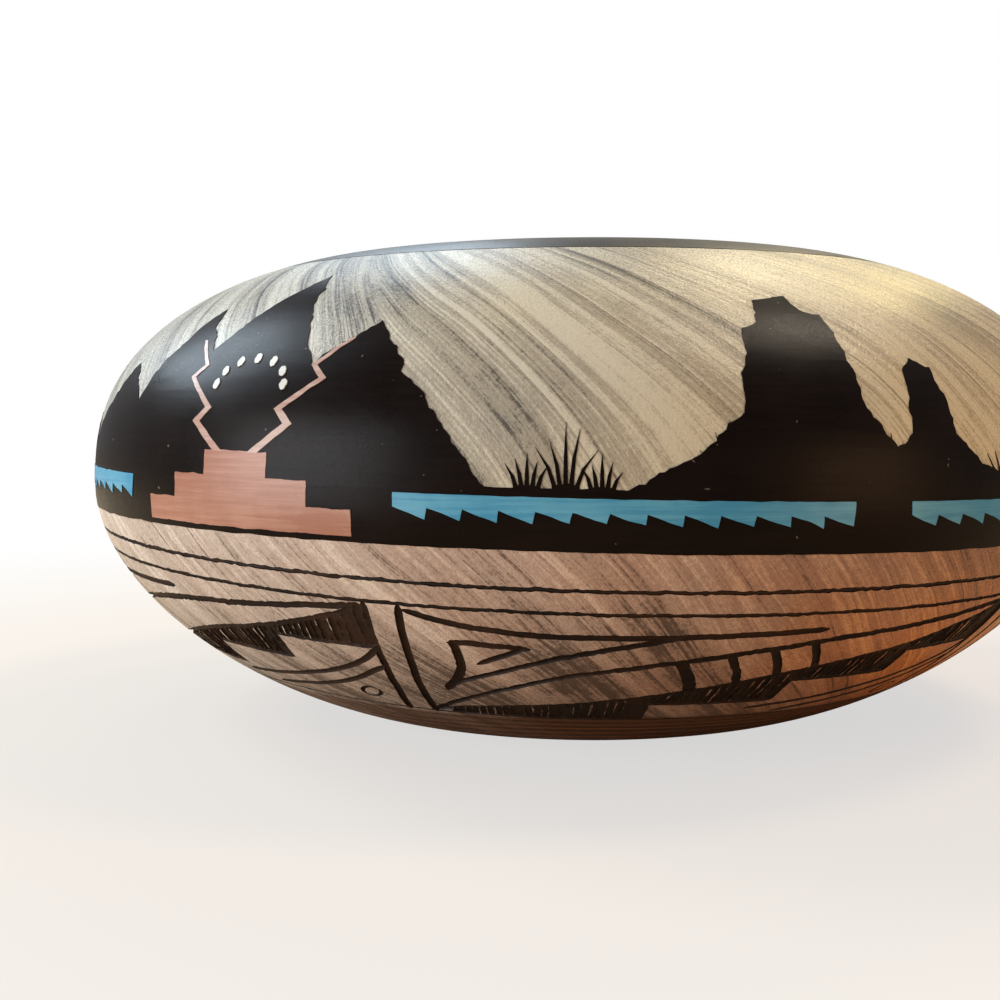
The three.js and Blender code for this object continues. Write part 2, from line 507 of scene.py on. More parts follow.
class Nodes:
    """A node tree under construction."""

    def __init__(self, tree: bpy.types.NodeTree) -> None:
        """Start with an empty tree."""
        self.tree = tree
        self.tree.nodes.clear()

    def node(self, kind: str, settings: dict | None = None, inputs: dict | None = None) -> Node:
        """Add a node.

        Args:
            kind: Type of the node.
            settings: Its own settings, set first.
            inputs: Values or links of its sockets, by name or number.

        Returns:
            The node.
        """
        node = self.tree.nodes.new(kind)
        for key, value in (settings or {}).items():
            setattr(node, key, value)
        for key, value in (inputs or {}).items():
            self.feed(node.inputs[key], value)
        return node

    def feed(self, socket: Socket, value: object) -> None:
        """Link or set a socket.

        Args:
            socket: Socket that takes the value.
            value: Value, node or socket to link, or a number or colour to set.
        """
        if isinstance(value, Value):
            self.tree.links.new(value.socket, socket)
        elif isinstance(value, Node):
            self.tree.links.new(value.outputs[0], socket)
        elif isinstance(value, Socket):
            self.tree.links.new(value, socket)
        else:
            socket.default_value = value

    def value(self, node: Node, output: str | int = 0) -> Value:
        """Wrap one output of a node as a number."""
        return Value(self, node.outputs[output])

    def seen(self) -> Value:
        """1 for what the camera sees straight away, and 0 for what light brings."""
        return self.value(self.node("ShaderNodeLightPath"), "Is Camera Ray")


@dataclass(frozen=True)
class Grain:
    """Soft noise on a surface; a scale of 1 is for a spot that is scaled already."""

    scale: float
    detail: float = 2.0
    rough: float = 0.5


class MixSocket(IntEnum):
    """Number of a socket of the Mix node when it mixes colours."""

    SHARE = 0
    RESULT = 2
    FIRST = 6
    SECOND = 7


class Shade(Nodes):
    """A material under construction: one principled surface and the nodes that feed it."""

    def __init__(self, name: str) -> None:
        """Start a material with an empty principled surface.

        Args:
            name: Name of the material.
        """
        self.material = bpy.data.materials.new(name)
        self.material.use_nodes = True
        super().__init__(self.material.node_tree)
        self.surface = self.node("ShaderNodeBsdfPrincipled")
        self.output = self.node("ShaderNodeOutputMaterial", inputs={"Surface": self.surface})

    def dress(self, colour: object, roughness: object, gloss: float, normal: Node | None = None) -> Material:
        """Give the surface its finish.

        Args:
            colour: Base colour.
            roughness: Roughness.
            gloss: Strength of its reflections.
            normal: Node that bumps the surface, if one does.

        Returns:
            The material.
        """
        inputs = {"Base Color": colour, "Roughness": roughness, "Specular IOR Level": gloss}
        if normal:
            inputs["Normal"] = normal
        for key, value in inputs.items():
            self.feed(self.surface.inputs[key], value)
        return self.material

    def unrolled(self) -> tuple[Value, Value]:
        """Find the place on the unrolled wall, from the piece's own UV map.

        Returns:
            Distance around and along the wall in millimetres.
        """
        spot = self.node("ShaderNodeUVMap", {"uv_map": UNROLLED})
        parts = self.node("ShaderNodeSeparateXYZ", inputs={"Vector": spot})
        return self.value(parts, "X") / MM, self.value(parts, "Y") / MM

    def place(self) -> Socket:
        """Place on the piece in its own coordinates."""
        return self.node("ShaderNodeTexCoord").outputs["Object"]

    def along(self, axis: str) -> Value:
        """Place along one axis of the pot in millimetres."""
        parts = self.node("ShaderNodeSeparateXYZ", inputs={"Vector": self.place()})
        return self.value(parts, axis) / MM

    def spot(self, x: Value | float, y: Value | float, z: Value | float) -> Node:
        """Join three numbers into a place."""
        return self.node("ShaderNodeCombineXYZ", inputs={"X": x, "Y": y, "Z": z})

    def stretched(self, scale: Triple) -> Node:
        """Place on the piece, scaled along each axis."""
        return self.node("ShaderNodeMapping", inputs={"Vector": self.place(), "Scale": scale})

    def grain(self, grain: Grain, spot: object = None) -> Value:
        """Add noise.

        Args:
            grain: Kind of noise.
            spot: Where it is read, if that isn't the place on the piece.

        Returns:
            The noise, about 0.5 on average.
        """
        at = self.place() if spot is None else spot
        inputs = {"Vector": at, "Scale": grain.scale, "Detail": grain.detail, "Roughness": grain.rough}
        return self.value(self.node("ShaderNodeTexNoise", inputs=inputs))

    def mix(self, share: Value, first: object, second: object) -> Socket:
        """Mix two colours.

        Args:
            share: Share of the second colour.
            first: Colour at 0.
            second: Colour at 1.

        Returns:
            The mixed colour.
        """
        settings = {"data_type": "RGBA", "clamp_factor": True}
        inputs = {MixSocket.SHARE: share, MixSocket.FIRST: first, MixSocket.SECOND: second}
        return self.node("ShaderNodeMix", settings, inputs).outputs[MixSocket.RESULT]

    def bump(self, height: Value, strength: float, depth: float) -> Node:
        """Turn a height into a bumped normal.

        Args:
            height: Height from 0 to 1.
            strength: Strength of the bump.
            depth: Height in millimetres that 1 stands for.

        Returns:
            The node that feeds Normal.
        """
        inputs = {"Strength": strength, "Distance": depth * MM, "Height": height}
        return self.node("ShaderNodeBump", inputs=inputs)


@dataclass(frozen=True)
class Mark:
    """Marks of a brush: how often they come across and along a stroke, and how rough and strong they are."""

    across: float
    along: float
    detail: float
    rough: float
    weight: float = 1.0

    def drawn(self, shade: Shade, x: Value, y: Value, lane: Value | float) -> Value:
        """Draw the marks, about 0 on average, at a distance across, a distance along and a lane."""
        spot = shade.spot(x * self.across, y * self.along, lane)
        return shade.grain(Grain(1.0, self.detail, self.rough), spot) - 0.5


@dataclass(frozen=True)
class BrushField:
    """One pass of a wide brush: its strokes bend as they come down the wall."""

    lean: float
    bend: float
    seed: float
    length: float
    contrast: float
    dashes: float
    level: float = 0.55
    meander: float = 9.0
    lane_step: float = 37.0
    stray: Mark = Mark(0.022, 0.026, 1.0, 0.5)
    broad: Mark = Mark(0.07, 0.35, 2.0, 0.5, weight=1.4)
    middle: Mark = Mark(0.3, 0.55, 2.0, 0.6, weight=1.2)
    fine: Mark = Mark(1.15, 1.0, 3.0, 0.7, weight=1.3)
    dash: Mark = Mark(1.7, 0.2, 2.0, 0.6)
    bristle: Mark = Mark(0.62, 0.5, 2.0, 0.75, weight=0.26)
    bristle_lane: float = 9.0
    bristle_from: Limits = (0.07, 0.16)

    def strokes(self, shade: Shade, x: Value, y: Value, cell: Value) -> tuple[Value, Value]:
        """Draw the marks of the brush.

        Args:
            shade: Material that takes them.
            x: Distance around the wall in millimetres.
            y: Distance up the wall in millimetres.
            cell: Number of the pass, which changes its marks.

        Returns:
            Tone of the strokes, about 0.5 on average, and their finest lines, about 0.
        """
        lane = cell * self.lane_step + self.seed
        across = x + self.lean * y + self.bend * y * y + self.stray.drawn(shade, x, y, lane) * self.meander
        along = y / self.length
        broad, middle, fine = (
            mark.drawn(shade, across, along, lane) for mark in (self.broad, self.middle, self.fine)
        )
        dash = self.dash.drawn(shade, across, y, lane)
        bristle = self.bristle.drawn(shade, across, along, lane + self.bristle_lane).above(*self.bristle_from)
        lines = broad * self.broad.weight + middle * self.middle.weight + fine * self.fine.weight
        lines = lines + dash * self.dashes - bristle * self.bristle.weight
        return lines * self.contrast + self.level, fine


class WashKind(Enum):
    """Part of the wall that a wash covers."""

    SHOULDER = "shoulder_wash"
    BOWL = "bowl_wash"


@dataclass(frozen=True)
class Tones:
    """Colours of a wash, from where it lies thin to where it lies thick."""

    pale: Colour
    middle: Colour
    dark: Colour
    lows: Limits = (0.12, 0.5)
    highs: Limits = (0.48, 0.88)

    def colour(self, shade: Shade, tone: Value) -> Socket:
        """Colour a tone, from 0 where it is dark to 1 where it is pale."""
        colour = shade.mix(tone.above(*self.lows), self.dark, self.middle)
        return shade.mix(tone.above(*self.highs), colour, self.pale)


@dataclass(frozen=True)
class Foot:
    """Darker foot of the bowl, partly a stain and partly painted shade under the belly, where fine lines were
    turned into the clay.
    """

    tones: Tones
    line: float = 10.4
    drift: float = 1.4
    blur: Limits = (-0.5, 0.7)
    cover: Limits = (0.45, 1.55)
    dullness: float = 0.4
    wander: Grain = Grain(60.0)
    turning: Grain = Grain(1.0, 2.0, 0.7)
    turning_pitch: float = 3.2
    turning_drift: float = 0.6

    def stain_and_shade(self, height: Value, cloud: Value) -> Value:
        """Share of the darker foot, stain and painted shade, at a height, with an edge that follows a cloud.
        """
        return (self.line - height + cloud * self.drift).above(*self.blur)

    def colour(self, shade: Shade) -> Socket:
        """Colour the turned lines.

        Args:
            shade: Material that takes the colour.

        Returns:
            The colour.
        """
        aside = shade.grain(self.wander) * self.turning_drift
        spot = shade.spot(shade.along("Z") * self.turning_pitch, 0.0, aside)
        return self.tones.colour(shade, shade.grain(self.turning, spot))


@dataclass(frozen=True)
class Wash:
    """Brushed translucent wash over pale clay, sealed to a satin gloss; its colours also hold painted light
    and shade.
    """

    kind: WashKind
    # The cool and warm tones are one wash lit two ways: painted cool window light on the left, painted warm
    # lamp light on the right.
    cool_lit: Tones
    warm_lit: Tones
    # Golden tones are painted warm bounce light, low on the right of the bowl.
    painted_glow: Tones | None
    foot: Foot | None
    start: float
    left: BrushField
    right: BrushField
    field_start: float = -137.4
    field_width: float = 329.87
    field_rag: float = 30.0
    fold: float = -14.0
    fold_lean: float = 0.8
    fold_rag: float = 5.0
    fold_blur: float = 2.0
    crease: float = 0.0
    ragged: Mark = Mark(0.05, 0.09, 4.0, 0.7)
    ragged_lane: float = 3.0
    cloud: Grain = Grain(45.0, 3.0, 0.55)
    cloud_share: float = 0.5
    mottle: Grain = Grain(1100.0, 3.0, 0.7)
    mottle_share: float = 0.35
    speck: Grain = Grain(2600.0, 2.0, 0.6)
    speck_share: float = 0.35
    smudge: Grain = Grain(38.0, 4.0, 0.65)
    smudge_from: Limits = (0.6, 0.72)
    smudge_share: float = 0.14
    # Darkening low on the wall, away from the right side, is painted shade.
    painted_low_shade: float = 0.0
    low_shade_from: Limits = (12.0, 36.0)
    # Span across the pot over which the painted warm lamp light takes over from the painted cool window
    # light.
    lamp_tint_span: Limits = (-95.0, 115.0)
    lamp_tint_drift: float = 90.0
    painted_glow_across: Limits = (15.0, 80.0)
    painted_glow_below: Limits = (16.0, 42.0)
    roughness: float = 0.3
    speck_dullness: float = 0.3
    tone_shine: float = 0.06
    gloss: float = 0.5
    relief: Triple = (0.4, 0.7, 0.9)
    relief_depth: float = 0.15

    def material(self) -> Material:
        """Make the wash.

        Returns:
            The material.
        """
        shade = Shade(self.kind.value)
        tone, fine = self._strokes(shade)
        cloud, mottle, speck = (shade.grain(grain) - 0.5 for grain in (self.cloud, self.mottle, self.speck))
        smudge = shade.grain(self.smudge).above(*self.smudge_from)
        tone = tone + cloud * self.cloud_share + mottle * self.mottle_share + speck * self.speck_share
        # right marks the side where painted warm bounce light falls.
        height, right = shade.along("Z"), shade.along("X").above(*self.painted_glow_across)
        # Painted shade: the tone darkens low on the wall, except on the right where painted bounce light
        # falls.
        shaded_low = (1 - height.above(*self.low_shade_from)) * (1 - right)
        tone = tone - smudge * self.smudge_share - shaded_low * self.painted_low_shade
        # Painted light colour: the wash turns from its cool-lit tones on the left to its warm-lit tones on
        # the right, with a cloudy edge.
        lamp_warmth = (shade.along("X") + cloud * self.lamp_tint_drift).above(*self.lamp_tint_span)
        colour = shade.mix(lamp_warmth, self.cool_lit.colour(shade, tone), self.warm_lit.colour(shade, tone))
        roughness = self.roughness + speck * self.speck_dullness - (tone - 0.5) * self.tone_shine
        # Painted bounce light: golden tones low on the right of the wall.
        if self.painted_glow:
            lit = right * (1 - height.above(*self.painted_glow_below))
            colour = shade.mix(lit, colour, self.painted_glow.colour(shade, tone))
        if self.foot:
            # The foot darkens as a stain and as painted shade under the belly.
            stain_and_shade = self.foot.stain_and_shade(height, cloud)
            # The darker foot is stronger on the side of the painted warm lamp light.
            least, most = self.foot.cover
            cover = stain_and_shade * (lamp_warmth * (most - least) + least)
            colour = shade.mix(cover, colour, self.foot.colour(shade))
            roughness = roughness + stain_and_shade * self.foot.dullness
        of_fine, of_speck, of_mottle = self.relief
        relief = fine * of_fine + speck * of_speck + mottle * of_mottle
        return shade.dress(colour, roughness, self.gloss, shade.bump(relief, 1.0, self.relief_depth))

    def _strokes(self, shade: Shade) -> tuple[Value, Value]:
        """Draw the two passes of the brush, which meet at a slanting fold.

        Args:
            shade: Material that takes them.

        Returns:
            Tone of the strokes, about 0.5 on average, and their finest lines, about 0.
        """
        x, arc = shade.unrolled()
        y = arc - self.start
        ragged = self.ragged.drawn(shade, x, y, self.ragged_lane)
        slanted = x + y * self.fold_lean
        cell = ((slanted + ragged * self.field_rag - self.field_start) / self.field_width).floor()
        local = x - cell * self.field_width
        left_tone, left_fine = self.left.strokes(shade, local, y, cell.parity())
        right_tone, right_fine = self.right.strokes(shade, local, y, cell.parity())
        past = local + y * self.fold_lean + ragged * self.fold_rag
        crossing = past.above(self.fold - self.fold_blur, self.fold + self.fold_blur)
        tone = left_tone + (right_tone - left_tone) * crossing - crossing * (1 - crossing) * self.crease
        return tone, left_fine + (right_fine - left_fine) * crossing


@dataclass(frozen=True)
class Coat:
    """Brushed satin paint of one colour."""

    name: str
    colour: Colour
    worn: Colour
    roughness: float = 0.36
    gloss: float = 0.4
    speckle: Colour | None = None
    cloud: Grain = Grain(70.0, 4.0, 0.6)
    cloud_dullness: float = 0.15
    speck: Grain = Grain(2400.0, 2.0, 0.6)
    speck_dullness: float = 0.22
    dust: Grain = Grain(700.0, 1.0, 0.4)
    dust_from: Limits = (0.785, 0.8)
    dust_cover: float = 0.7
    stroke: Grain = Grain(1.0, 3.0, 0.6)
    stroke_scale: Triple = (60.0, 60.0, 1500.0)
    wear_from: Limits = (0.38, 0.66)
    relief: Pair = (0.6, 0.5)
    relief_strength: float = 0.4
    relief_depth: float = 0.05

    def material(self) -> Material:
        """Make the paint.

        Returns:
            The material.
        """
        shade = Shade(self.name)
        cloud, speck = shade.grain(self.cloud), shade.grain(self.speck)
        stroke = shade.grain(self.stroke, shade.stretched(self.stroke_scale))
        wear = (cloud * 0.5 + stroke * 0.5).above(*self.wear_from)
        colour = shade.mix(wear, self.colour, self.worn)
        if self.speckle:
            dust = shade.grain(self.dust).above(*self.dust_from)
            colour = shade.mix(dust * self.dust_cover, colour, self.speckle)
        dullness = (speck - 0.5) * self.speck_dullness + (cloud - 0.5) * self.cloud_dullness
        of_stroke, of_speck = self.relief
        relief = stroke * of_stroke + speck * of_speck
        normal = shade.bump(relief, self.relief_strength, self.relief_depth)
        return shade.dress(colour, self.roughness + dullness, self.gloss, normal)


@dataclass(frozen=True)
class RawClay:
    """Unglazed clay: smoothed inside the pot, or burnt dark inside an etched line."""

    name: str
    light: Colour
    dark: Colour
    roughness: float
    relief_depth: float
    gloss: float = 0.22
    cloud: Grain = Grain(55.0, 4.0, 0.6)
    grit: Grain = Grain(1300.0, 3.0, 0.7)
    grit_dullness: float = 0.2
    turning: Grain = Grain(1.0, 2.0, 0.5)
    turning_scale: Triple = (30.0, 30.0, 700.0)
    shares: Triple = (0.5, 0.3, 0.2)
    light_from: Limits = (0.36, 0.64)
    relief: Pair = (0.6, 0.4)
    relief_strength: float = 0.5

    def material(self) -> Material:
        """Make the clay.

        Returns:
            The material.
        """
        shade = Shade(self.name)
        cloud, grit = shade.grain(self.cloud), shade.grain(self.grit)
        turned = shade.grain(self.turning, shade.stretched(self.turning_scale))
        of_cloud, of_grit, of_turned = self.shares
        light = (cloud * of_cloud + grit * of_grit + turned * of_turned).above(*self.light_from)
        of_grit, of_turned = self.relief
        relief = grit * of_grit + turned * of_turned
        normal = shade.bump(relief, self.relief_strength, self.relief_depth)
        colour = shade.mix(light, self.dark, self.light)
        return shade.dress(colour, self.roughness + (grit - 0.5) * self.grit_dullness, self.gloss, normal)


class Finishes:
    """Every finish of the pot, made once."""

    def __init__(self, wall: PotWall, ground_line: float) -> None:
        """Make the materials.

        Args:
            wall: Wall that carries them.
            ground_line: Arc of the upper edge of the ground band.
        """
        # The shoulder's cool and warm tones are painted cool window light and painted warm lamp light.
        self.shoulder = Wash(
            kind=WashKind.SHOULDER,
            cool_lit=Tones(srgb(203, 198, 184), srgb(164, 158, 145), srgb(82, 78, 70)),
            warm_lit=Tones(srgb(214, 193, 153), srgb(174, 151, 115), srgb(86, 74, 55)),
            painted_glow=None,
            foot=None,
            start=ground_line,
            left=BrushField(0.55, 0.003, seed=5.0, length=80.0, contrast=1.0, dashes=0.5, level=0.62),
            right=BrushField(0.78, 0.0042, seed=12.0, length=80.0, contrast=0.95, dashes=0.5, level=0.68),
            crease=1.1,
            mottle_share=0.45,
        ).material()
        self.bowl = Wash(
            kind=WashKind.BOWL,
            # The bowl's cool and warm tones are painted cool window light on the left and painted warm lamp
            # light on the right.
            cool_lit=Tones(srgb(227, 214, 202), srgb(191, 172, 158), srgb(105, 89, 77)),
            warm_lit=Tones(srgb(186, 119, 58), srgb(141, 77, 30), srgb(69, 34, 11)),
            # Painted warm bounce light, golden and low on the right of the bowl.
            painted_glow=Tones(srgb(242, 154, 66), srgb(200, 113, 38), srgb(116, 58, 14)),
            # Dark foot tones: a stain, and partly painted shade under the belly.
            foot=Foot(Tones(
                srgb(158, 92, 36), srgb(94, 50, 17), srgb(56, 30, 8), lows=(0.35, 0.52), highs=(0.52, 0.7),
            )),
            start=wall.belly_arc,
            left=BrushField(0.85, 0.0, seed=17.0, length=26.0, contrast=0.66, dashes=0.8),
            right=BrushField(0.95, 0.001, seed=23.0, length=26.0, contrast=0.66, dashes=0.8),
            fold=24.0,
            gloss=0.38,
            mottle_share=0.5,
            # Painted shade low on the bowl's wall.
            painted_low_shade=0.2,
        ).material()
        black, bloom, dust = srgb(16, 8, 5), srgb(24, 14, 10), srgb(110, 100, 88)
        self.black = Coat("black_coat", black, bloom, roughness=0.32, gloss=0.08, speckle=dust).material()
        self.lip = Coat("lip_coat", srgb(46, 39, 29), srgb(74, 65, 50), roughness=0.34, gloss=0.3).material()
        self.turquoise = Coat("turquoise_coat", srgb(58, 138, 174), srgb(96, 164, 190)).material()
        self.rose = Coat("rose_coat", srgb(160, 106, 84), srgb(180, 130, 108)).material()
        self.rose_pale = Coat("rose_pale_coat", srgb(172, 130, 114), srgb(196, 168, 154)).material()
        self.white = Coat("white_coat", srgb(206, 202, 192), srgb(220, 216, 206)).material()
        burnt, soot = srgb(54, 32, 16), srgb(20, 11, 5)
        self.groove = RawClay("etched_groove", burnt, soot, roughness=0.6, relief_depth=0.12).material()
        bare, shaded = srgb(150, 104, 74), srgb(112, 74, 50)
        self.clay = RawClay("inner_clay", bare, shaded, roughness=0.72, relief_depth=0.1).material()


# Etched frieze


class Tool(Enum):
    """Tool that cuts an etched line: width and depth of its cut, and the step between its sections."""

    NEEDLE = (0.45, 0.24, 1.6)
    FINE = (0.95, 0.42, 0.8)
    STYLUS = (1.62, 0.55, 0.8)
    WIDE = (1.9, 0.6, 0.8)
    BROAD = (2.6, 0.65, 0.8)
    GOUGE = (1.8, 0.5, 0.8)


class Lane(Enum):
    """Part of a cut, each with an unsteadiness of its own."""

    LEFT = 1.0
    RIGHT = 2.0
    FLOOR = 3.0


@dataclass(frozen=True)
class Etching:
    """One etched stroke, through points of an angle and a level height."""

    tool: Tool
    points: tuple[SheetPoint, ...]
    breadth: float = 1.0
    blunt: bool = False


def oval(middle: SheetPoint, across: float, up: float, tilt: float, start: float = 28.0,
         end: float = 372.0, steps: int = 12) -> tuple[SheetPoint, ...]:
    """Draw a small tilted loop that doesn't quite close.

    Args:
        middle: Its angle and height.
        across: Half its width in degrees.
        up: Half its height.
        tilt: How much higher its right end lies than its middle.
        start: Direction in which it starts.
        end: Direction in which it ends.
        steps: Steps between the two.

    Returns:
        Angles and heights along the loop.
    """
    turns = [math.radians(between(start, end, step / steps)) for step in range(steps + 1)]
    return tuple(
        (middle[0] + across * math.cos(turn), middle[1] + up * math.sin(turn) + tilt * math.cos(turn))
        for turn in turns
    )


# Rings: height and tool. Steps: start, end and floor. Rungs: start, top and breadth.
RINGS = (
    (36.1, Tool.FINE), (32.2, Tool.FINE), (10.2, Tool.FINE),
    (9.0, Tool.NEEDLE), (7.6, Tool.NEEDLE), (6.1, Tool.NEEDLE), (4.4, Tool.NEEDLE),
)
STEP_LINE = (
    (1.2, 10.5), (5.1, 11.7), (20.7, 14.2), (32.4, 17.2),
    (45.6, 21.2), (57.0, 24.4), (65.0, 27.6), (71.0, 30.4),
)
STEPS = ((2.2, 28.5, 10.2), (28.5, 44.4, 14.2), (44.4, 58.4, 18.8), (58.4, 71.0, 23.3))
RUNGS = ((30.5, 23.5, 1.4), (35.5, 24.8, 0.95), (39.9, 25.8, 1.0), (44.2, 26.7, 0.95))
BARS_AND_TIPS = (
    Etching(Tool.STYLUS, ((0.0, 32.0), (-0.8, 21.2), (-1.5, 15.6), (-2.9, 9.9)), 1.12),
    Etching(Tool.STYLUS, ((3.5, 32.0), (2.9, 24.5), (2.1, 17.6), (1.2, 11.5), (0.9, 9.9)), 1.12),
    Etching(Tool.FINE, oval((65.6, 13.2), across=1.55, up=1.05, tilt=0.5), 1.05),
    Etching(Tool.STYLUS, ((9.9, 21.9), (12.4, 23.6), (15.2, 25.8)), 0.95),
)
LONG_LINES = (
    Etching(Tool.STYLUS, ((3.9, 31.1), (9.0, 29.2), (15.2, 28.2), (20.6, 28.0), (32.4, 28.4), (45.0, 29.2))),
    Etching(Tool.STYLUS, STEP_LINE),
    Etching(Tool.WIDE, ((7.9, 26.2), (8.2, 23.4), (7.6, 19.8), (5.1, 15.9)), 1.08),
)
RISING_LINE = (
    Etching(Tool.STYLUS, (
        (1.0, 10.6), (5.9, 13.5), (12.1, 16.9), (19.9, 20.5),
        (30.8, 23.6), (45.0, 26.9), (57.6, 28.8), (71.2, 31.2),
    )),
    Etching(Tool.STYLUS, ((7.5, 25.8), (11.0, 25.9), (15.6, 25.4)), 1.04),
)
RUNG_STROKES = tuple(
    Etching(Tool.WIDE, ((a, top + 0.2), (a + 1.4, top - 2.9), (a + 2.4, top - 6.2)), breadth, blunt=True)
    for a, top, breadth in RUNGS
)
RUNGS_AND_ARCS = (
    Etching(Tool.STYLUS, ((5.4, 16.4), (7.4, 18.1), (12.1, 20.6), (19.9, 24.6), (30.0, 28.2))),
    *RUNG_STROKES,
    Etching(Tool.STYLUS, ((42.0, 12.4), (52.2, 14.1), (62.0, 16.9), (68.3, 20.2), (71.4, 23.3))),
    Etching(Tool.STYLUS, ((47.0, 11.0), (58.5, 13.4), (65.4, 16.1), (71.0, 19.7))),
)
STEP_TREADS = tuple(Etching(Tool.FINE, ((start, level), (end, level))) for start, end, level in STEPS[1:])
STEP_RISERS = tuple(
    Etching(Tool.FINE, ((end, low), (end, high))) for (_, end, low), (_, _, high) in zip(STEPS, STEPS[1:])
)
WEDGE = (Etching(Tool.BROAD, ((71.2, 31.4), (70.9, 27.5), (71.1, 23.4)), blunt=True),)
STROKE_GROUPS = (BARS_AND_TIPS, LONG_LINES, RISING_LINE, RUNGS_AND_ARCS, STEP_TREADS, STEP_RISERS + WEDGE)


@dataclass
class Frieze:
    """Etched ornament of the bowl: bars, hooks, rungs and hatched steps between turned rings."""

    wall: PotWall
    groove: Material
    repeats: int = 5
    bare_repeat: int = 4
    first_bar: float = -20.4
    slant: float = 2.6
    sag: float = 1.0
    level_foot: float = 0.2
    level_height: float = 30.0
    brim: float = 0.35
    floor_width: float = 0.66
    floor_depth: float = 0.7
    drift_sway: float = 0.16
    drift_length: float = 5.0
    edge_sway: float = 0.36
    edge_share: float = 0.4
    edge_length: float = 0.8
    depth_sway: float = 0.8
    fewest_stations: int = 4
    taper: float = 1.1
    tip_share: float = 0.45
    tip_reach: float = 0.3
    tip_lift: float = 0.8
    hatch_pitch: float = 1.4
    hatch_level: float = 2.0
    hatch_tops: Limits = (0.1, 0.4)
    hatch_feet: Limits = (-0.1, 0.25)
    hatch_lean: float = 0.4
    hatch_leans: Limits = (0.6, 1.3)
    hatch_bend: Pair = (0.7, 0.55)
    hatch_breadths: tuple[float, ...] = (0.8, 0.88, 1.0, 1.06)
    shortest_hatch: float = 0.9
    solid_from: float = 66.8
    solid_last: int = 2
    solid_breadth: float = 1.12
    seed: int = 7
    seed_step: float = 1.7

    def carve(self, bowl: Piece) -> None:
        """Cut every line of the frieze out of the bowl.

        Args:
            bowl: Bowl that carries the frieze.
        """
        for number, (level, tool) in enumerate(RINGS):
            rows = self._ring(level, tool)
            self._cut(bowl, f"ring_cutter_{number}", rows)
        for number, group in enumerate(STROKE_GROUPS):
            rows = [
                row for repeat, turn in enumerate(self._turns()) for stroke in group
                if repeat != self.bare_repeat or stroke not in RUNG_STROKES
                for row in self._stroke(stroke, turn)
            ]
            self._cut(bowl, f"stroke_cutter_{number}", rows)
        hatching = self._hatching()
        for lane in (0, 1):
            rows = [row for stroke, turn in hatching[lane::2] for row in self._stroke(stroke, turn)]
            self._cut(bowl, f"hatch_cutter_{lane}", rows)
        Bench.weed(bowl)

    def _cut(self, bowl: Piece, name: str, rows: Rows) -> None:
        """Roll rows into a cutter and cut it out of the bowl.

        Args:
            bowl: Bowl that is cut.
            name: Name of the cutter.
            rows: Sections of its tubes, one after another.
        """
        cutter = Bench.rolled(name, rows)
        cutter.data.materials.append(self.groove)
        before = len(bowl.data.polygons)
        Bench.cut(bowl, cutter)
        log.info("%s: %d faces of the bowl became %d", name, before, len(bowl.data.polygons))

    def _turns(self) -> list[float]:
        """Angle of the bar at the start of each repeat."""
        return [self.first_bar + repeat * FULL_TURN / self.repeats for repeat in range(self.repeats)]

    def _lift(self, angle: float, level: float) -> float:
        """Find how much higher than level the drawing runs.

        Args:
            angle: Degrees around the pot from the front.
            level: Height of the point in a level drawing.

        Returns:
            Millimetres above the level drawing.
        """
        turn = math.radians(angle)
        lift = self.sag * (1 - math.cos(2 * turn)) - self.slant * math.sin(turn)
        return lift * min(1.0, self.level_foot + level / self.level_height)

    def _on_wall(self, angle: float, level: float) -> SheetPoint:
        """Angle and arc of a point of the drawing."""
        return angle, self.wall.arc_at(level + self._lift(angle, level))

    def _even(self, path: list[SheetPoint], step: float) -> tuple[list[SheetPoint], float]:
        """Space stations evenly along a path on the wall.

        Args:
            path: Angles and arcs close together.
            step: Distance from station to station in millimetres.

        Returns:
            Angles and arcs of the stations, and the length of the path in millimetres.
        """
        spots = [self.wall.place(angle, arc) / MM for angle, arc in path]
        lengths = [0.0]
        for first, second in zip(spots, spots[1:]):
            lengths.append(lengths[-1] + (second - first).length)
        count = max(round(lengths[-1] / step), self.fewest_stations)
        even = []
        for station in range(count + 1):
            wanted = lengths[-1] * station / count
            i = min(max(bisect_left(lengths, wanted), 1), len(path) - 1)
            share = (wanted - lengths[i - 1]) / max(lengths[i] - lengths[i - 1], TINY)
            even.append(tuple(between(a, b, share) for a, b in zip(path[i - 1], path[i])))
        return even, lengths[-1]

    def _sections(self, even: list[SheetPoint], shares: list[float], size: Triple,
                  seed: float) -> Rows:
        """Set a cutting section on the wall at each station.

        Args:
            even: Angles and arcs of the stations.
            shares: Share of its full size that the cut has at each.
            size: Width and depth of the cut, and the step between its stations.
            seed: Number that makes this stroke's unsteadiness its own.

        Returns:
            One closed ring of points for each station.
        """
        width, depth, step = size
        spots = [self.wall.place(angle, arc) for angle, arc in even]
        drift = Hand(seed, self.drift_sway, self.drift_length)
        edges = Hand(seed + 0.5, min(self.edge_sway, self.edge_share * width), self.edge_length)
        rows = []
        for i, (angle, arc) in enumerate(even):
            facing = self.wall.outward(angle, arc)
            along = spots[min(i + 1, len(spots) - 1)] - spots[max(i - 1, 0)]
            side = facing.cross(along).normalized()
            run = i * step
            middle = spots[i] + side * (drift.at(run) * MM)
            left = -width * shares[i] / 2 + edges.at(run, Lane.LEFT.value)
            right = width * shares[i] / 2 + edges.at(run, Lane.RIGHT.value)
            deep = depth * shares[i] * (1 + self.depth_sway * edges.at(run, Lane.FLOOR.value))
            shelf = -self.floor_depth * deep
            section = (
                (left, self.brim), (left * self.floor_width, shelf), (0.0, -deep),
                (right * self.floor_width, shelf), (right, self.brim), (left, self.brim),
            )
            rows.append([middle + (side * across + facing * up) * MM for across, up in section])
        return rows

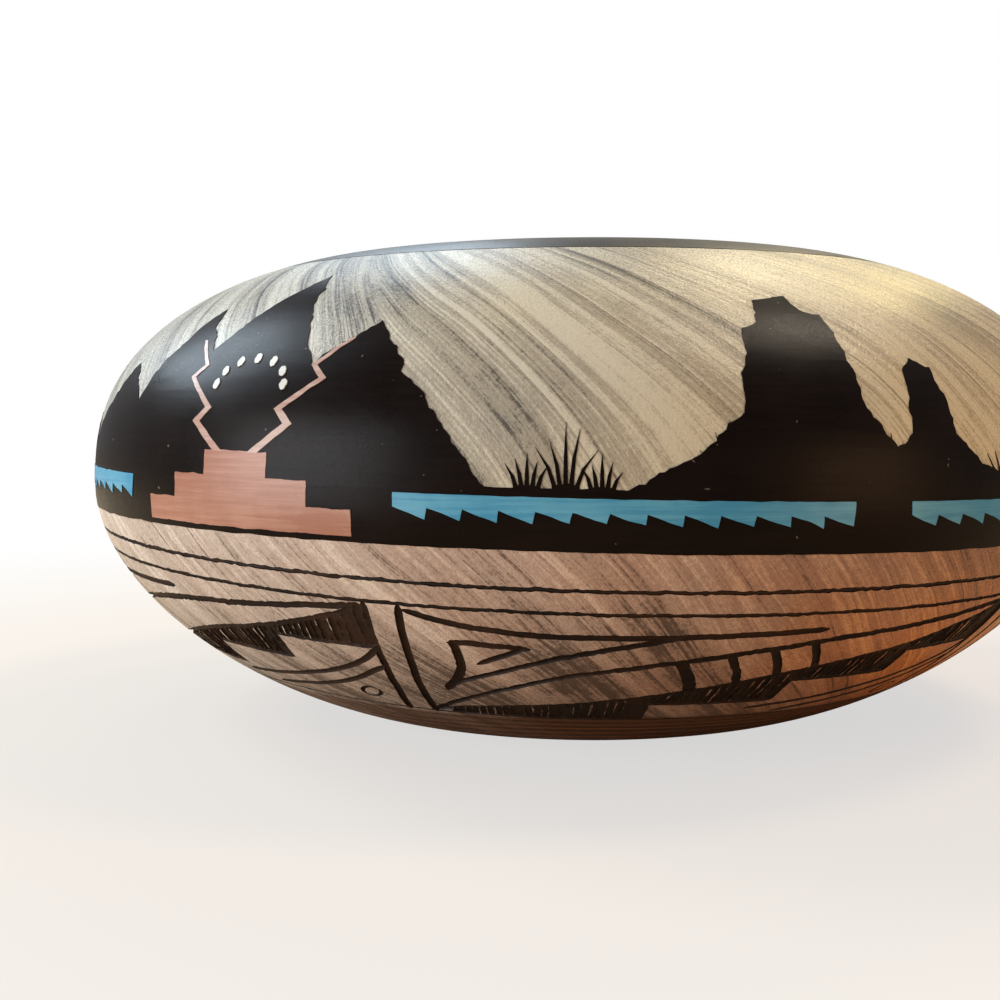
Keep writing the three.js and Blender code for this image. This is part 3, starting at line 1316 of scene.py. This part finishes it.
    def _ring(self, level: float, tool: Tool) -> Rows:
        """Draw a line that closes around the pot.

        Args:
            level: Height of the line.
            tool: Tool that cuts it.

        Returns:
            Sections along the line, the first of them again at the end.
        """
        path = [self._on_wall(step - FULL_TURN / 2, level) for step in range(int(FULL_TURN) + 1)]
        even, _ = self._even(path, tool.value[2])
        rows = self._sections(even[:-1], [1.0] * len(even), tool.value, level)
        return rows + [rows[0]]

    def _stroke(self, stroke: Etching, turn: float) -> Rows:
        """Draw a stroke, which tapers at each end unless it is blunt.

        Args:
            stroke: Stroke of the drawing.
            turn: Angle at which its repeat starts.

        Returns:
            Sections along the stroke, with a point at each end.
        """
        width, depth, step = stroke.tool.value
        path = [self._on_wall(turn + a, level) for a, level in smooth_path(list(stroke.points))]
        even, length = self._even(path, step)
        shares = []
        for i in range(len(even)):
            run = length * i / (len(even) - 1)
            full = min(min(run, length - run) / self.taper, 1.0)
            shares.append(1.0 if stroke.blunt else between(self.tip_share, 1.0, full))
        seed = turn + stroke.points[0][0] * self.seed_step + stroke.points[0][1]
        rows = self._sections(even, shares, (width * stroke.breadth, depth, step), seed)
        tips = []
        for (angle, arc), row, inner in ((even[0], rows[0], rows[1]), (even[-1], rows[-1], rows[-2])):
            reach = (row[2] - inner[2]).normalized() * (self.tip_reach * width * MM)
            tip = self.wall.place(angle, arc, self.brim * self.tip_lift) + reach
            tips.append([tip] * len(row))
        return [tips[0], *rows, tips[1]]

    def _hatching(self) -> list[tuple[Etching, float]]:
        """Draw the short gouges that fill the steps.

        Returns:
            Gouges from left to right, each with the angle at which its repeat starts.
        """
        draw = random.Random(self.seed)
        line = smooth_path(list(STEP_LINE))
        angles = [angle for angle, _ in line]
        gouges = []
        for turn in self._turns():
            for start, end, floor in STEPS:
                radius, _ = self.wall.at(self.wall.arc_at(floor + self.hatch_level))
                count = round(math.radians(end - start) * radius / self.hatch_pitch)
                for gouge in range(count):
                    a = between(start, end, (gouge + 0.5) / count)
                    limit = line[min(bisect_left(angles, a), len(line) - 1)][1]
                    top = limit - draw.uniform(*self.hatch_tops)
                    foot = floor + draw.uniform(*self.hatch_feet)
                    solid = a > self.solid_from or gouge >= count - self.solid_last
                    breadth = self.solid_breadth if solid else draw.choice(self.hatch_breadths)
                    lean = self.hatch_lean * draw.uniform(*self.hatch_leans)
                    if top - foot > self.shortest_hatch:
                        aside, up = self.hatch_bend
                        points = ((a, foot), (a + aside * lean, between(foot, top, up)), (a + lean, top))
                        gouges.append((Etching(Tool.GOUGE, points, breadth, blunt=True), turn))
        return gouges


# Clay body


# Radius and height of the base's underside, and radius and rise of the floor above it.
UNDERSIDE = ((0.0, 0.35), (12.0, 0.34), (26.0, 0.28), (36.0, 0.15), (40.0, 0.0))
INNER_FLOOR = ((28.0, 0.25), (12.0, 0.4), (0.0, 0.45))


@dataclass
class ClayBody:
    """Base disc, bowl, shoulder and mouth ring, luted together."""

    wall: PotWall
    finishes: Finishes
    slip: float = 0.04
    lap: float = 5.0
    base_bevel: float = 4.0
    base_rim: Pair = (0.8, 0.3)
    base_shoulder: Pair = (1.5, 0.2)
    mouth_ring_width: float = 20.0
    score_width: float = 0.36
    score_depth: float = 0.3
    outside_step: float = 2.2
    inside_step: float = 5.5
    inner_start: float = 2.0
    inner_share: float = 0.4
    lip_steps: int = 12
    turns: int = 256
    crease_angle: float = 38.0

    @property
    def mouth_seam(self) -> float:
        """Arc of the seam between the shoulder and the mouth ring."""
        return self.wall.crest_arc - self.mouth_ring_width

    def _run(self, start: float, end: float, depth: float, step: float) -> list[SheetPoint]:
        """Follow the wall at one depth."""
        count = max(math.ceil(abs(end - start) / step), 1)
        return [self.wall.at(between(start, end, i / count), depth) for i in range(count + 1)]

    def _outside(self, start: float, end: float) -> list[SheetPoint]:
        """Follow the outside of the wall."""
        return self._run(start, end, 0.0, self.outside_step)

    def _inside(self, start: float, end: float) -> list[SheetPoint]:
        """Follow the inside of the wall."""
        return self._run(start, end, self.wall.thickness, self.inside_step)

    def _tongue(self, seam: float) -> list[SheetPoint]:
        """Upper end of the piece below a seam, whose inner half stands up."""
        depth = (self.wall.thickness + self.slip) / 2
        return [self.wall.at(arc - self.slip / 2, depth) for arc in (seam, seam + self.lap)]

    def _rebate(self, seam: float) -> list[SheetPoint]:
        """Lower end of the piece above a seam, whose outer half comes down over the tongue."""
        depth = (self.wall.thickness - self.slip) / 2
        return [self.wall.at(arc + self.slip / 2, depth) for arc in (seam + self.lap, seam)]

    def base_disc(self) -> Piece:
        """Spin the slab under the pot, a little hollow so that it stands on its rim.

        Returns:
            The piece.
        """
        under, top = self.wall.foot_radius - self.slip, self.wall.thickness
        inner = under - self.base_bevel
        rim_width, rim_rise = self.base_rim
        edge_width, edge_drop = self.base_shoulder
        profile = [
            *UNDERSIDE,
            (under - rim_width, 0.0),
            (under, rim_rise),
            (inner, top - edge_drop),
            (inner - edge_width, top),
            *((radius, top + rise) for radius, rise in INNER_FLOOR),
        ]
        return Bench.spun("clay_base", profile, self.turns // 2, self.wall)

    def bowl(self) -> Piece:
        """Spin the lower wall, from the foot to the widest line.

        Returns:
            The piece.
        """
        wall, seam = self.wall, self.wall.belly_arc
        profile = [
            *self._outside(0.0, seam - self.slip / 2),
            *self._tongue(seam),
            *self._inside(seam + self.lap - self.slip / 2, self.inner_start),
            (wall.foot_radius - self.base_bevel, wall.thickness),
        ]
        return Bench.spun("clay_bowl", profile, self.turns, wall)

    def shoulder(self) -> Piece:
        """Spin the upper wall, from the widest line in towards the mouth.

        Returns:
            The piece.
        """
        wall = self.wall
        low, high = wall.belly_arc, self.mouth_seam
        profile = [
            *self._outside(low + self.slip / 2, high - self.score_width),
            wall.at(high - self.score_width / 2, self.score_depth),
            wall.at(high - self.slip / 2, self.score_depth),
            *self._tongue(high),
            *self._inside(high + self.lap - self.slip / 2, low + self.lap + self.slip / 2),
            *self._rebate(low),
        ]
        return Bench.spun("clay_shoulder", profile, self.turns, wall)

    def mouth_ring(self) -> Piece:
        """Spin the lip coil, rounded over from the outside to the inside.

        Returns:
            The piece.
        """
        wall, seam = self.wall, self.mouth_seam
        half = wall.thickness / 2
        lip = []
        for step in range(1, self.lip_steps):
            turn = math.pi * (0.5 + step / self.lip_steps)
            radius = wall.crest_radius + half * math.cos(turn)
            lip.append((radius, wall.pot_height - half + half * math.sin(turn)))
        profile = [
            wall.at(seam + self.slip / 2, self.score_depth),
            *self._outside(seam + self.score_width / 2, wall.crest_arc),
            *lip,
            *self._inside(wall.crest_arc, seam + self.lap + self.slip / 2),
            *self._rebate(seam),
        ]
        return Bench.spun("clay_mouth_ring", profile, self.turns, wall)

    def unroll(self, piece: Piece) -> None:
        """Give a piece a UV map of distances around and along the wall, in metres.

        Args:
            piece: Piece of the wall.
        """
        mesh = piece.data
        layer = mesh.uv_layers.new(name=UNROLLED)
        corners = [corner.co / MM for corner in mesh.vertices]
        turns = [math.degrees(math.atan2(spot.x, -spot.y)) for spot in corners]
        arcs = [self.wall.arc_at(spot.z) for spot in corners]
        for face in mesh.polygons:
            first = turns[face.vertices[0]]
            for loop, corner in zip(face.loop_indices, face.vertices):
                turn = first + (turns[corner] - first + FULL_TURN / 2) % FULL_TURN - FULL_TURN / 2
                layer.data[loop].uv = (turn * self.wall.degree * MM, arcs[corner] * MM)

    def faces_in(self, piece: Piece, slot: int) -> None:
        """Give the faces inside the pot another finish.

        Args:
            piece: Piece whose faces are sorted; only those of its first slot change.
            slot: Material slot for the faces inside.
        """
        for face in piece.data.polygons:
            middle = face.center / MM
            radius = math.hypot(middle.x, middle.y)
            outer, _ = self.wall.at(self.wall.arc_at(middle.z))
            inner = radius < outer - self.wall.thickness * self.inner_share
            if face.material_index == 0 and inner:
                face.material_index = slot

    def build(self) -> None:
        """Build, etch and dress the four pieces."""
        finishes = self.finishes
        bowl = self.bowl()
        bowl.data.materials.append(finishes.bowl)
        Frieze(self.wall, finishes.groove).carve(bowl)
        bowl.data.materials.append(finishes.clay)
        self.faces_in(bowl, slot=2)
        shoulder = self.shoulder()
        shoulder.data.materials.append(finishes.shoulder)
        shoulder.data.materials.append(finishes.clay)
        self.faces_in(shoulder, slot=1)
        mouth = self.mouth_ring()
        mouth.data.materials.append(finishes.lip)
        base = self.base_disc()
        base.data.materials.append(finishes.clay)
        for piece, node, slot in (
            (base, "base_disc", "base_clay"), (bowl, "lower_wall", "etched_clay"),
            (shoulder, "upper_wall", "brushed_clay"), (mouth, "mouth_ring", "lip_black"),
        ):
            self.unroll(piece)
            Bench.smooth(piece, self.crease_angle)
            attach(piece, "root")
            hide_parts(node)
            log.info("%s: %d faces", piece.name, len(piece.data.polygons))


# Painting


# Skylines: angle and share of the sky. Panels: start and end. Tufts: angle and height.
# Blade: side and share of its length. Bolt: angle away from the middle and rise.
RANGE = (
    (-70, 0), (-58, 0.36), (-52, 0.22), (-46, 0.6), (-41, 0.4), (-33, 0.8), (-26, 0.34), (-20, 0.52), (-8, 0),
)
BUTTES = (
    (4, 0), (10, 0.1), (14, 0.22), (15.4, 0.5), (17.2, 0.53), (17.8, 0.63), (21.8, 0.66), (22.6, 0.59),
    (24.6, 0.57), (25.8, 0.24), (28.6, 0.13), (30.4, 0.17), (31.2, 0.37), (32.6, 0.41), (34.8, 0.38),
    (35.8, 0.17), (39, 0.08), (46, 0),
)
PANELS = ((-16, 24), (30, 70))
TUFTS = (
    (-4.4, 7.0), (-1.2, 11.5), (1.8, 6.0), (12.6, 12.0),
    (28.0, 10.0), (42.4, 11.0), (46.6, 7.0), (50.8, 12.0),
)
BLADE = ((-1, 0.08), (-1, 0.5), (0, 1.0), (1, 0.5), (1, 0.08))
BOLT = ((2.2, 0.0), (6.0, 5.0), (4.6, 7.4), (8.8, 13.0), (7.4, 15.4), (10.6, 21.0))


class Layer(Enum):
    """Coat in the order of painting: height of its underside and of its face above the clay."""

    GROUND = (-0.06, 0.1)
    LAND = (-0.06, 0.115)
    COLOUR = (0.0, 0.2)
    ACCENT = (0.05, 0.26)


class Slot(Enum):
    """Slot of the record whose material a coat shows."""

    BLACK = "black_paint"
    TURQUOISE = "turquoise_paint"
    ROSE = "rose_paint"


@dataclass(frozen=True)
class Patch:
    """One motif of the painting, before it is repeated around the pot."""

    name: str
    outline: list[SheetPoint]
    layer: Layer
    finish: Material
    slot: Slot | None = None
    node: str | None = None


@dataclass
class Painting:
    """Black ground with a skyline and grass, turquoise panels, rose terraces and white dots."""

    wall: PotWall
    finishes: Finishes
    mouth_seam: float
    ground_below: float = 5.7
    ground_above: float = 4.0
    ground_rows: int = 5
    ground_turns: int = 360
    edge_circle: float = 30.0
    low_hand: Hand = Hand(seed=2.0, sway=0.22, length=1.0)
    high_hand: Hand = Hand(seed=3.0, sway=0.22, length=1.0)
    range_rough: float = 1.3
    butte_rough: float = 0.5
    panel_margin: float = 1.4
    panel_height: float = 4.2
    panel_hand: Hand = Hand(seed=31.0, sway=0.14, length=3.0)
    panel_step: float = 0.7
    teeth: int = 13
    tooth_depth: float = 2.0
    tooth_lows: Limits = (0.0, 0.25)
    tooth_bends: Limits = (0.5, 0.66)
    tooth_reaches: Limits = (0.88, 1.0)
    terrace_at: float = -33.0
    terrace_margin: float = 1.0
    tier_rise: float = 4.2
    tier_half_widths: tuple[float, ...] = (13.0, 8.5, 4.0)
    terrace_hands: tuple[Hand, ...] = (Hand(41.0, sway=0.3, length=4.0), Hand(43.0, sway=0.12, length=1.2))
    bolt_width: float = 2.2
    bolt_tip: float = 0.45
    bolt_overlap: float = 0.2
    bolt_hand: Hand = Hand(seed=51.0, sway=0.16, length=2.4)
    bolt_step: float = 0.8
    blades: int = 5
    blade_width: float = 0.75
    blade_leans: Limits = (0.2, 0.32)
    blade_rises: Limits = (0.75, 1.1)
    blade_droop: float = 0.45
    blade_curve: float = 1.7
    blade_thinning: float = 0.5
    tuft_half_width: float = 2.8
    tuft_spread: float = 2.3
    tuft_seed_step: int = 10
    dots: int = 7
    dot_radius: float = 0.9
    dot_stretch: Pair = (0.85, 1.1)
    dot_sway: float = 0.22
    dot_circle: float = 2.0
    dot_corners: int = 20
    arch_half_width: float = 8.2
    arch_rise: float = 5.0
    arch_above: float = 11.5
    repeats: int = 3
    overlap: float = 0.9
    lattice: float = 2.6
    corner_ease: float = 0.35
    ease_rate: float = 3.0
    crease_angle: float = 30.0

    @property
    def ground_edge(self) -> float:
        """Arc of the lower edge of the ground band."""
        return self.wall.belly_arc - self.ground_below

    @property
    def ground_line(self) -> float:
        """Arc of the upper edge of the ground band."""
        return self.wall.belly_arc + self.ground_above

    @property
    def sky(self) -> float:
        """Room for the skyline, along the wall."""
        return self.mouth_seam - self.ground_line - self.wall.drift

    @property
    def terrace_top(self) -> float:
        """Arc of the highest step of a terrace."""
        return self.ground_edge + self.terrace_margin + len(self.tier_half_widths) * self.tier_rise

    def paint(self) -> None:
        """Paint every coat."""
        self._finish(self._ground(), self.finishes.black, "ground_paint")
        for patch in self._patches():
            self._repeat(patch)

    def _patches(self) -> list[Patch]:
        """Draw every motif.

        Returns:
            The motifs in the order of painting.
        """
        finishes = self.finishes
        black, blue, rose = finishes.black, finishes.turquoise, finishes.rose
        ranges, buttes = self._land(RANGE, self.range_rough), self._land(BUTTES, self.butte_rough)
        patches = [
            Patch("range", ranges, Layer.LAND, black, Slot.BLACK, "range_paint_{0}"),
            Patch("butte", buttes, Layer.LAND, black, Slot.BLACK, "butte_paint_{0}"),
        ]
        for number, (angle, height) in enumerate(TUFTS, 1):
            tuft = self._tuft(angle, height)
            patches.append(Patch(f"grass_{number}", tuft, Layer.GROUND, black, Slot.BLACK))
        for number, (start, end) in enumerate(PANELS, 1):
            name, node = f"panel_{number}", f"turquoise_panel_{{0}}_{number}"
            patches.append(Patch(name, self._panel(start, end), Layer.COLOUR, blue, Slot.TURQUOISE, node))
        terrace = self._terrace()
        patches.append(Patch("terrace", terrace, Layer.COLOUR, rose, Slot.ROSE, "rose_terrace_{0}"))
        for side, word in ((-1, "left"), (1, "right")):
            bolt, node = self._bolt(side), f"rose_bolt_{{0}}_{word}"
            patches.append(Patch(f"bolt_{word}", bolt, Layer.COLOUR, finishes.rose_pale, Slot.ROSE, node))
        for number, (x, y) in enumerate(self._arch(), 1):
            patches.append(Patch(f"dot_{number}", self._dot(x, y), Layer.ACCENT, finishes.white))
        return patches

    def _finish(self, piece: Piece, finish: Material,
                node: str | None) -> None:
        """Give a coat its finish and its place in the frame.

        Args:
            piece: Coat on the wall.
            finish: Its material.
            node: Node that the coat stands for, if there is one.
        """
        piece.data.materials.clear()
        piece.data.materials.append(finish)
        Bench.smooth(piece, self.crease_angle)
        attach(piece, "root")
        if node:
            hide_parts(node)
        log.info("%s: %d faces", piece.name, len(piece.data.polygons))

    def _ground(self) -> Piece:
        """Draw the ground band, closed around the pot.

        Returns:
            The piece.
        """
        under, face = Layer.GROUND.value
        rows = []
        for step in range(self.ground_turns):
            angle = step * FULL_TURN / self.ground_turns - FULL_TURN / 2
            turn = math.radians(angle)
            spot = self.edge_circle * math.sin(turn), self.edge_circle * math.cos(turn)
            low = self.ground_edge + self.low_hand.at(*spot)
            high = self.ground_line + self.high_hand.at(*spot)
            arcs = [between(low, high, row / self.ground_rows) for row in range(self.ground_rows + 1)]
            ring = [(arc, face) for arc in arcs] + [(arc, under) for arc in reversed(arcs)]
            ring.append(ring[0])
            rows.append([self.wall.place(angle, self.wall.drawn(angle, arc), up) for arc, up in ring])
        return Bench.rolled("ground_coat", rows + [rows[0]])

    def _sheet(self, name: str, outline: list[SheetPoint], layer: Layer) -> Piece:
        """Cut a flat sheet of paint to an outline and divide it finely.

        Args:
            name: Name of the sheet.
            outline: Corners in millimetres around and along the wall.
            layer: Coat that it belongs to, which sets its heights.

        Returns:
            The flat sheet, with millimetres as its units.
        """
        under, face = layer.value
        sheet = Bench.outline(name, [Vector((x, y, under)) for x, y in outline], filled=True)
        Bench.edit(sheet)
        bpy.ops.mesh.quads_convert_to_tris(ngon_method="BEAUTY")
        for axis, across in ((0, (1, 0, 0)), (1, (0, 1, 0))):
            low = min(point[axis] for point in outline)
            high = max(point[axis] for point in outline)
            count = int((high - low) / self.lattice)
            for line in range(1, count + 1):
                at = [0.0, 0.0, 0.0]
                at[axis] = between(low, high, line / (count + 1))
                bpy.ops.mesh.select_all(action="SELECT")
                bpy.ops.mesh.bisect(plane_co=at, plane_no=across)
        bpy.ops.mesh.select_all(action="SELECT")
        bpy.ops.mesh.extrude_region_move(TRANSFORM_OT_translate={"value": (0, 0, face - under)})
        bpy.ops.object.mode_set(mode="OBJECT")
        return sheet

    def _repeat(self, patch: Patch) -> None:
        """Lay copies of one motif around the pot.

        Args:
            patch: The motif.
        """
        sheet = self._sheet(f"{patch.name}_sheet", patch.outline, patch.layer)
        for repeat in range(self.repeats):
            Bench.hold(sheet)
            bpy.ops.object.duplicate(linked=False)
            piece = Bench.name(f"{patch.name}_coat_{repeat + 1}")
            self._lay(piece, repeat * FULL_TURN / self.repeats)
            node = patch.node.format(repeat + 1) if patch.node else None
            self._finish(piece, patch.finish, node)
        bpy.data.meshes.remove(sheet.data)

    def _lay(self, piece: Piece, turn: float) -> None:
        """Bend a flat sheet onto the wall.

        Args:
            piece: Sheet with millimetres as its units.
            turn: Angle at which its repeat starts.
        """
        points = []
        for corner in piece.data.vertices:
            angle = turn + corner.co.x / self.wall.degree
            points.append(self.wall.place(angle, self.wall.drawn(angle, corner.co.y), corner.co.z))
        Bench.move(piece, points)
        Bench.edit(piece)
        Bench.close()

    def _by_hand(self, corners: list[SheetPoint], hands: tuple[Hand, ...], step: float = 0.85,
                 closed: bool = True) -> list[SheetPoint]:
        """Draw an outline by hand.

        Args:
            corners: Angles and arcs of its corners.
            hands: Movements that stray from the straight lines between them.
            step: Distance between the points of the outline in millimetres.
            closed: Whether the last corner joins the first one.

        Returns:
            Points in millimetres around and along the wall.
        """
        flat = [Vector((angle * self.wall.degree, arc)) for angle, arc in corners]
        outline = []
        run = 0.0
        for first, second in zip(flat, flat[1:] + flat[:1] if closed else flat[1:]):
            line = second - first
            side = Vector((-line.y, line.x)).normalized()
            count = max(round(line.length / step), 1)
            for i in range(count):
                spot = first + line * (i / count)
                ease = min(1.0, self.corner_ease + self.ease_rate * min(i, count - i) / count)
                spot += side * (ease * sum(hand.at(run + line.length * i / count) for hand in hands))
                outline.append((spot.x, spot.y))
            run += line.length
        return outline

    def _land(self, corners: tuple[SheetPoint, ...], rough: float) -> list[SheetPoint]:
        """Draw a landform that stands on the ground band.

        Args:
            corners: Angles and shares of the sky along its skyline, from left to right.
            rough: How far the hand strays, in millimetres.

        Returns:
            Points in millimetres around and along the wall.
        """
        hands = (
            Hand(seed=rough * 5, sway=rough, length=6.0),
            Hand(seed=rough * 7, sway=0.4 * rough + 0.2, length=1.9),
            Hand(seed=rough * 9, sway=0.4, length=0.9),
        )
        tops = [(angle, self.ground_line + share * self.sky) for angle, share in corners]
        left, right = tops[0][0] * self.wall.degree, tops[-1][0] * self.wall.degree
        ridge = [
            (x, y) for x, y in self._by_hand(tops, hands, closed=False)
            if left < x < right and y > self.ground_line
        ]
        foot = self.ground_line - self.overlap
        return [(left, foot), (left, self.ground_line), *ridge, (right, self.ground_line), (right, foot)]

    def _tuft(self, angle: float, height: float) -> list[SheetPoint]:
        """Draw a tuft of grass on the ground band.

        Args:
            angle: Angle of its middle.
            height: Height of its longest blade.

        Returns:
            Points in millimetres around and along the wall.
        """
        draw = random.Random(round(angle * self.tuft_seed_step))
        middle, half = angle * self.wall.degree, self.blade_width / 2
        reach, root = self.tuft_half_width * self.blade_width, self.ground_line - self.overlap
        outline = [(middle - reach, root)]
        for blade in range(self.blades):
            lean = between(-1.0, 1.0, blade / (self.blades - 1))
            foot = middle + lean * self.tuft_spread * self.blade_width
            tip = foot + lean * height * draw.uniform(*self.blade_leans)
            rise = height * (1 - self.blade_droop * abs(lean)) * draw.uniform(*self.blade_rises)
            for side, share in BLADE:
                width = half * (1 - self.blade_thinning * share)
                x = between(foot, tip, share**self.blade_curve) + side * width
                outline.append((x, self.ground_line + rise * share))
        outline.append((middle + reach, root))
        return outline[::-1]

    def _panel(self, start: float, end: float) -> list[SheetPoint]:
        """Draw a strip with slanting teeth along its lower edge.

        Args:
            start: Angle of its left end.
            end: Angle of its right end.

        Returns:
            Points in millimetres around and along the wall.
        """
        top = self.ground_line - self.panel_margin
        tip = top - self.panel_height
        pitch = (end - start) / self.teeth
        corners = [(end, top), (start, top)]
        draw = random.Random(start)
        for tooth in range(self.teeth):
            foot = start + tooth * pitch
            low = tip + draw.uniform(*self.tooth_lows) * self.tooth_depth
            reach = draw.uniform(*self.tooth_reaches) * pitch
            corners.append((foot, tip + self.tooth_depth))
            corners.append((foot + reach / 2, tip + draw.uniform(*self.tooth_bends) * self.tooth_depth))
            corners.append((foot + reach, low))
        return self._by_hand(corners, (self.panel_hand,), self.panel_step)

    def _terrace(self) -> list[SheetPoint]:
        """Draw steps up to the middle and down again.

        Returns:
            Points in millimetres around and along the wall.
        """
        foot = self.ground_edge + self.terrace_margin
        left = []
        for tier, half in enumerate(self.tier_half_widths):
            left += [(-half, foot + tier * self.tier_rise), (-half, foot + (tier + 1) * self.tier_rise)]
        right = [(-away, arc) for away, arc in reversed(left)]
        corners = [(self.terrace_at + away, arc) for away, arc in left + right]
        return self._by_hand(corners, self.terrace_hands)

    def _bolt(self, side: int) -> list[SheetPoint]:
        """Draw a zigzag line above a terrace.

        Args:
            side: -1 for the one on the left and 1 for the one on the right.

        Returns:
            Points in millimetres around and along the wall.
        """
        foot = self.terrace_top - self.bolt_overlap
        left, right = [], []
        for number, (away, rise) in enumerate(BOLT):
            angle = self.terrace_at + side * away
            share = between(1.0, self.bolt_tip, number / (len(BOLT) - 1))
            half = share * self.bolt_width / 2 / self.wall.degree
            left.append((angle - half, foot + rise))
            right.append((angle + half, foot + rise))
        hand = replace(self.bolt_hand, seed=self.bolt_hand.seed + side)
        return self._by_hand(right + left[::-1], (hand,), self.bolt_step)

    def _arch(self) -> list[SheetPoint]:
        """Place the dots in an arch above a terrace.

        Returns:
            Middles of the dots in millimetres around and along the wall.
        """
        x, y = self.terrace_at * self.wall.degree, self.terrace_top + self.arch_above
        across, up = self.arch_half_width, self.arch_rise
        turns = [math.pi * dot / (self.dots - 1) for dot in range(self.dots)]
        return [(x + across * math.cos(turn), y + up * math.sin(turn)) for turn in turns]

    def _dot(self, x: float, y: float) -> list[SheetPoint]:
        """Draw one dab of a brush.

        Args:
            x: Millimetres around the wall to its middle.
            y: Millimetres along the wall to its middle.

        Returns:
            Points in millimetres around and along the wall.
        """
        hand = Hand(seed=x + y, sway=self.dot_sway, length=1.0)
        across, up = self.dot_stretch
        dab = []
        for step in range(self.dot_corners):
            turn = math.tau * step / self.dot_corners
            spot = self.dot_circle * math.cos(turn), self.dot_circle * math.sin(turn)
            reach = self.dot_radius + hand.at(*spot)
            dab.append((x + across * reach * math.cos(turn), y + up * reach * math.sin(turn)))
        return dab


# Studio


@dataclass
class Lamp:
    """A soft rectangular light that faces the pot."""

    name: str
    at: Triple
    size: float
    power: float
    colour: Triple
    aim: Triple = (0.0, 0.0, 0.05)

    def hang(self) -> None:
        """Hang the light."""
        turn = (Vector(self.aim) - Vector(self.at)).to_track_quat("-Z", "Y").to_euler()
        Bench.clear()
        bpy.ops.object.light_add(type="AREA", location=self.at, rotation=turn)
        lamp = bpy.context.object
        lamp.name = self.name
        lamp.data.size = self.size
        lamp.data.energy = self.power
        lamp.data.color = self.colour


@dataclass
class Studio:
    """Pale floor, soft light and the camera at the photograph's place."""

    eye: Triple = (0.0, -0.3144, 0.0643)
    turned_left: float = 3.3
    tipped_down: float = 3.81
    lens: float = 50.14
    sensor: float = 36.0
    clip_start: float = 0.01
    floor_reach: float = 4.0
    floor_corners: int = 96
    floor_gap: float = 0.05
    floor_colour: Colour = srgb(212, 188, 158)
    floor_roughness: float = 0.9
    floor_gloss: float = 0.1
    fade: Limits = (0.1, 0.42)
    near_white: float = 0.65
    ambient: float = 0.3
    ambient_tint: Colour = (0.93, 0.96, 1.0, 1.0)
    lamps: tuple[Lamp, ...] = (
        Lamp("window", (-0.78, 0.28, 0.66), 0.45, 7.5, (0.74, 0.88, 1.0)),
        Lamp("daylight", (-1.1, -0.66, 0.16), 0.8, 18.0, (0.92, 0.96, 1.0)),
        Lamp("skylight", (-0.22, 0.76, 0.63), 0.3, 1.15, (0.7, 0.86, 1.0)),
        Lamp("ceiling_lamp", (0.27, 0.66, 0.74), 0.16, 1.6, (1.0, 0.86, 0.54)),
        Lamp("corner_lamp", (0.43, 0.75, 0.55), 0.1, 0.62, (1.0, 0.84, 0.42)),
        Lamp("room_lamp", (0.5, 0.05, 0.95), 0.28, 4.1, (1.0, 0.88, 0.7)),
        Lamp("table_glow", (0.85, -0.55, 0.08), 0.4, 2.2, (1.0, 0.56, 0.26)),
    )

    def build(self) -> None:
        """Set up the stage."""
        scene = bpy.context.scene
        scene.view_settings.view_transform = "Standard"
        self._camera(scene)
        self._floor()
        self._world(scene)
        for lamp in self.lamps:
            lamp.hang()

    def _camera(self, scene: bpy.types.Scene) -> None:
        """Place the camera.

        Args:
            scene: Scene that looks through it.
        """
        Bench.clear()
        tilt, turn = math.pi / 2 - math.radians(self.tipped_down), math.radians(self.turned_left)
        bpy.ops.object.camera_add(location=self.eye, rotation=(tilt, 0.0, turn))
        camera = bpy.context.object
        camera.data.lens = self.lens
        camera.data.sensor_width = self.sensor
        camera.data.clip_start = self.clip_start
        scene.camera = camera

    def _floor(self) -> None:
        """Lay the floor, which fades to white away from the pot for the camera alone."""
        Bench.clear()
        bpy.ops.mesh.primitive_circle_add(
            vertices=self.floor_corners,
            radius=self.floor_reach,
            fill_type="NGON",
            location=(0.0, 0.0, -self.floor_gap * MM),
        )
        floor = Bench.name("floor")
        shade = Shade("pale_floor")
        material = shade.dress(self.floor_colour, self.floor_roughness, self.floor_gloss)
        length = shade.node("ShaderNodeVectorMath", {"operation": "LENGTH"}, {0: shade.place()})
        away = shade.value(length, "Value").above(*self.fade)
        white = shade.node("ShaderNodeEmission", inputs={"Color": WHITE, "Strength": 1.0})
        share = (away * (1 - self.near_white) + self.near_white) * shade.seen()
        blend = shade.node("ShaderNodeMixShader", inputs={0: share, 1: shade.surface, 2: white})
        shade.feed(shade.output.inputs["Surface"], blend)
        floor.data.materials.append(material)

    def _world(self, scene: bpy.types.Scene) -> None:
        """Light the room evenly, with white behind the pot for the camera alone.

        Args:
            scene: Scene that is lit.
        """
        world = bpy.data.worlds.new("room")
        world.use_nodes = True
        scene.world = world
        nodes = Nodes(world.node_tree)
        light = {"Color": self.ambient_tint, "Strength": self.ambient}
        room = nodes.node("ShaderNodeBackground", inputs=light)
        white = nodes.node("ShaderNodeBackground", inputs={"Color": WHITE})
        blend = nodes.node("ShaderNodeMixShader", inputs={0: nodes.seen(), 1: room, 2: white})
        nodes.node("ShaderNodeOutputWorld", inputs={"Surface": blend})


def main() -> None:
    """Build the pot and its studio."""
    logging.basicConfig(level=logging.INFO, format="%(name)s: %(message)s")
    wall = PotWall()
    finishes = Finishes(wall, wall.belly_arc + Painting.ground_above)
    body = ClayBody(wall, finishes)
    body.build()
    Painting(wall, finishes, body.mouth_seam).paint()
    Studio().build()


if __name__ == "__main__":
    main()
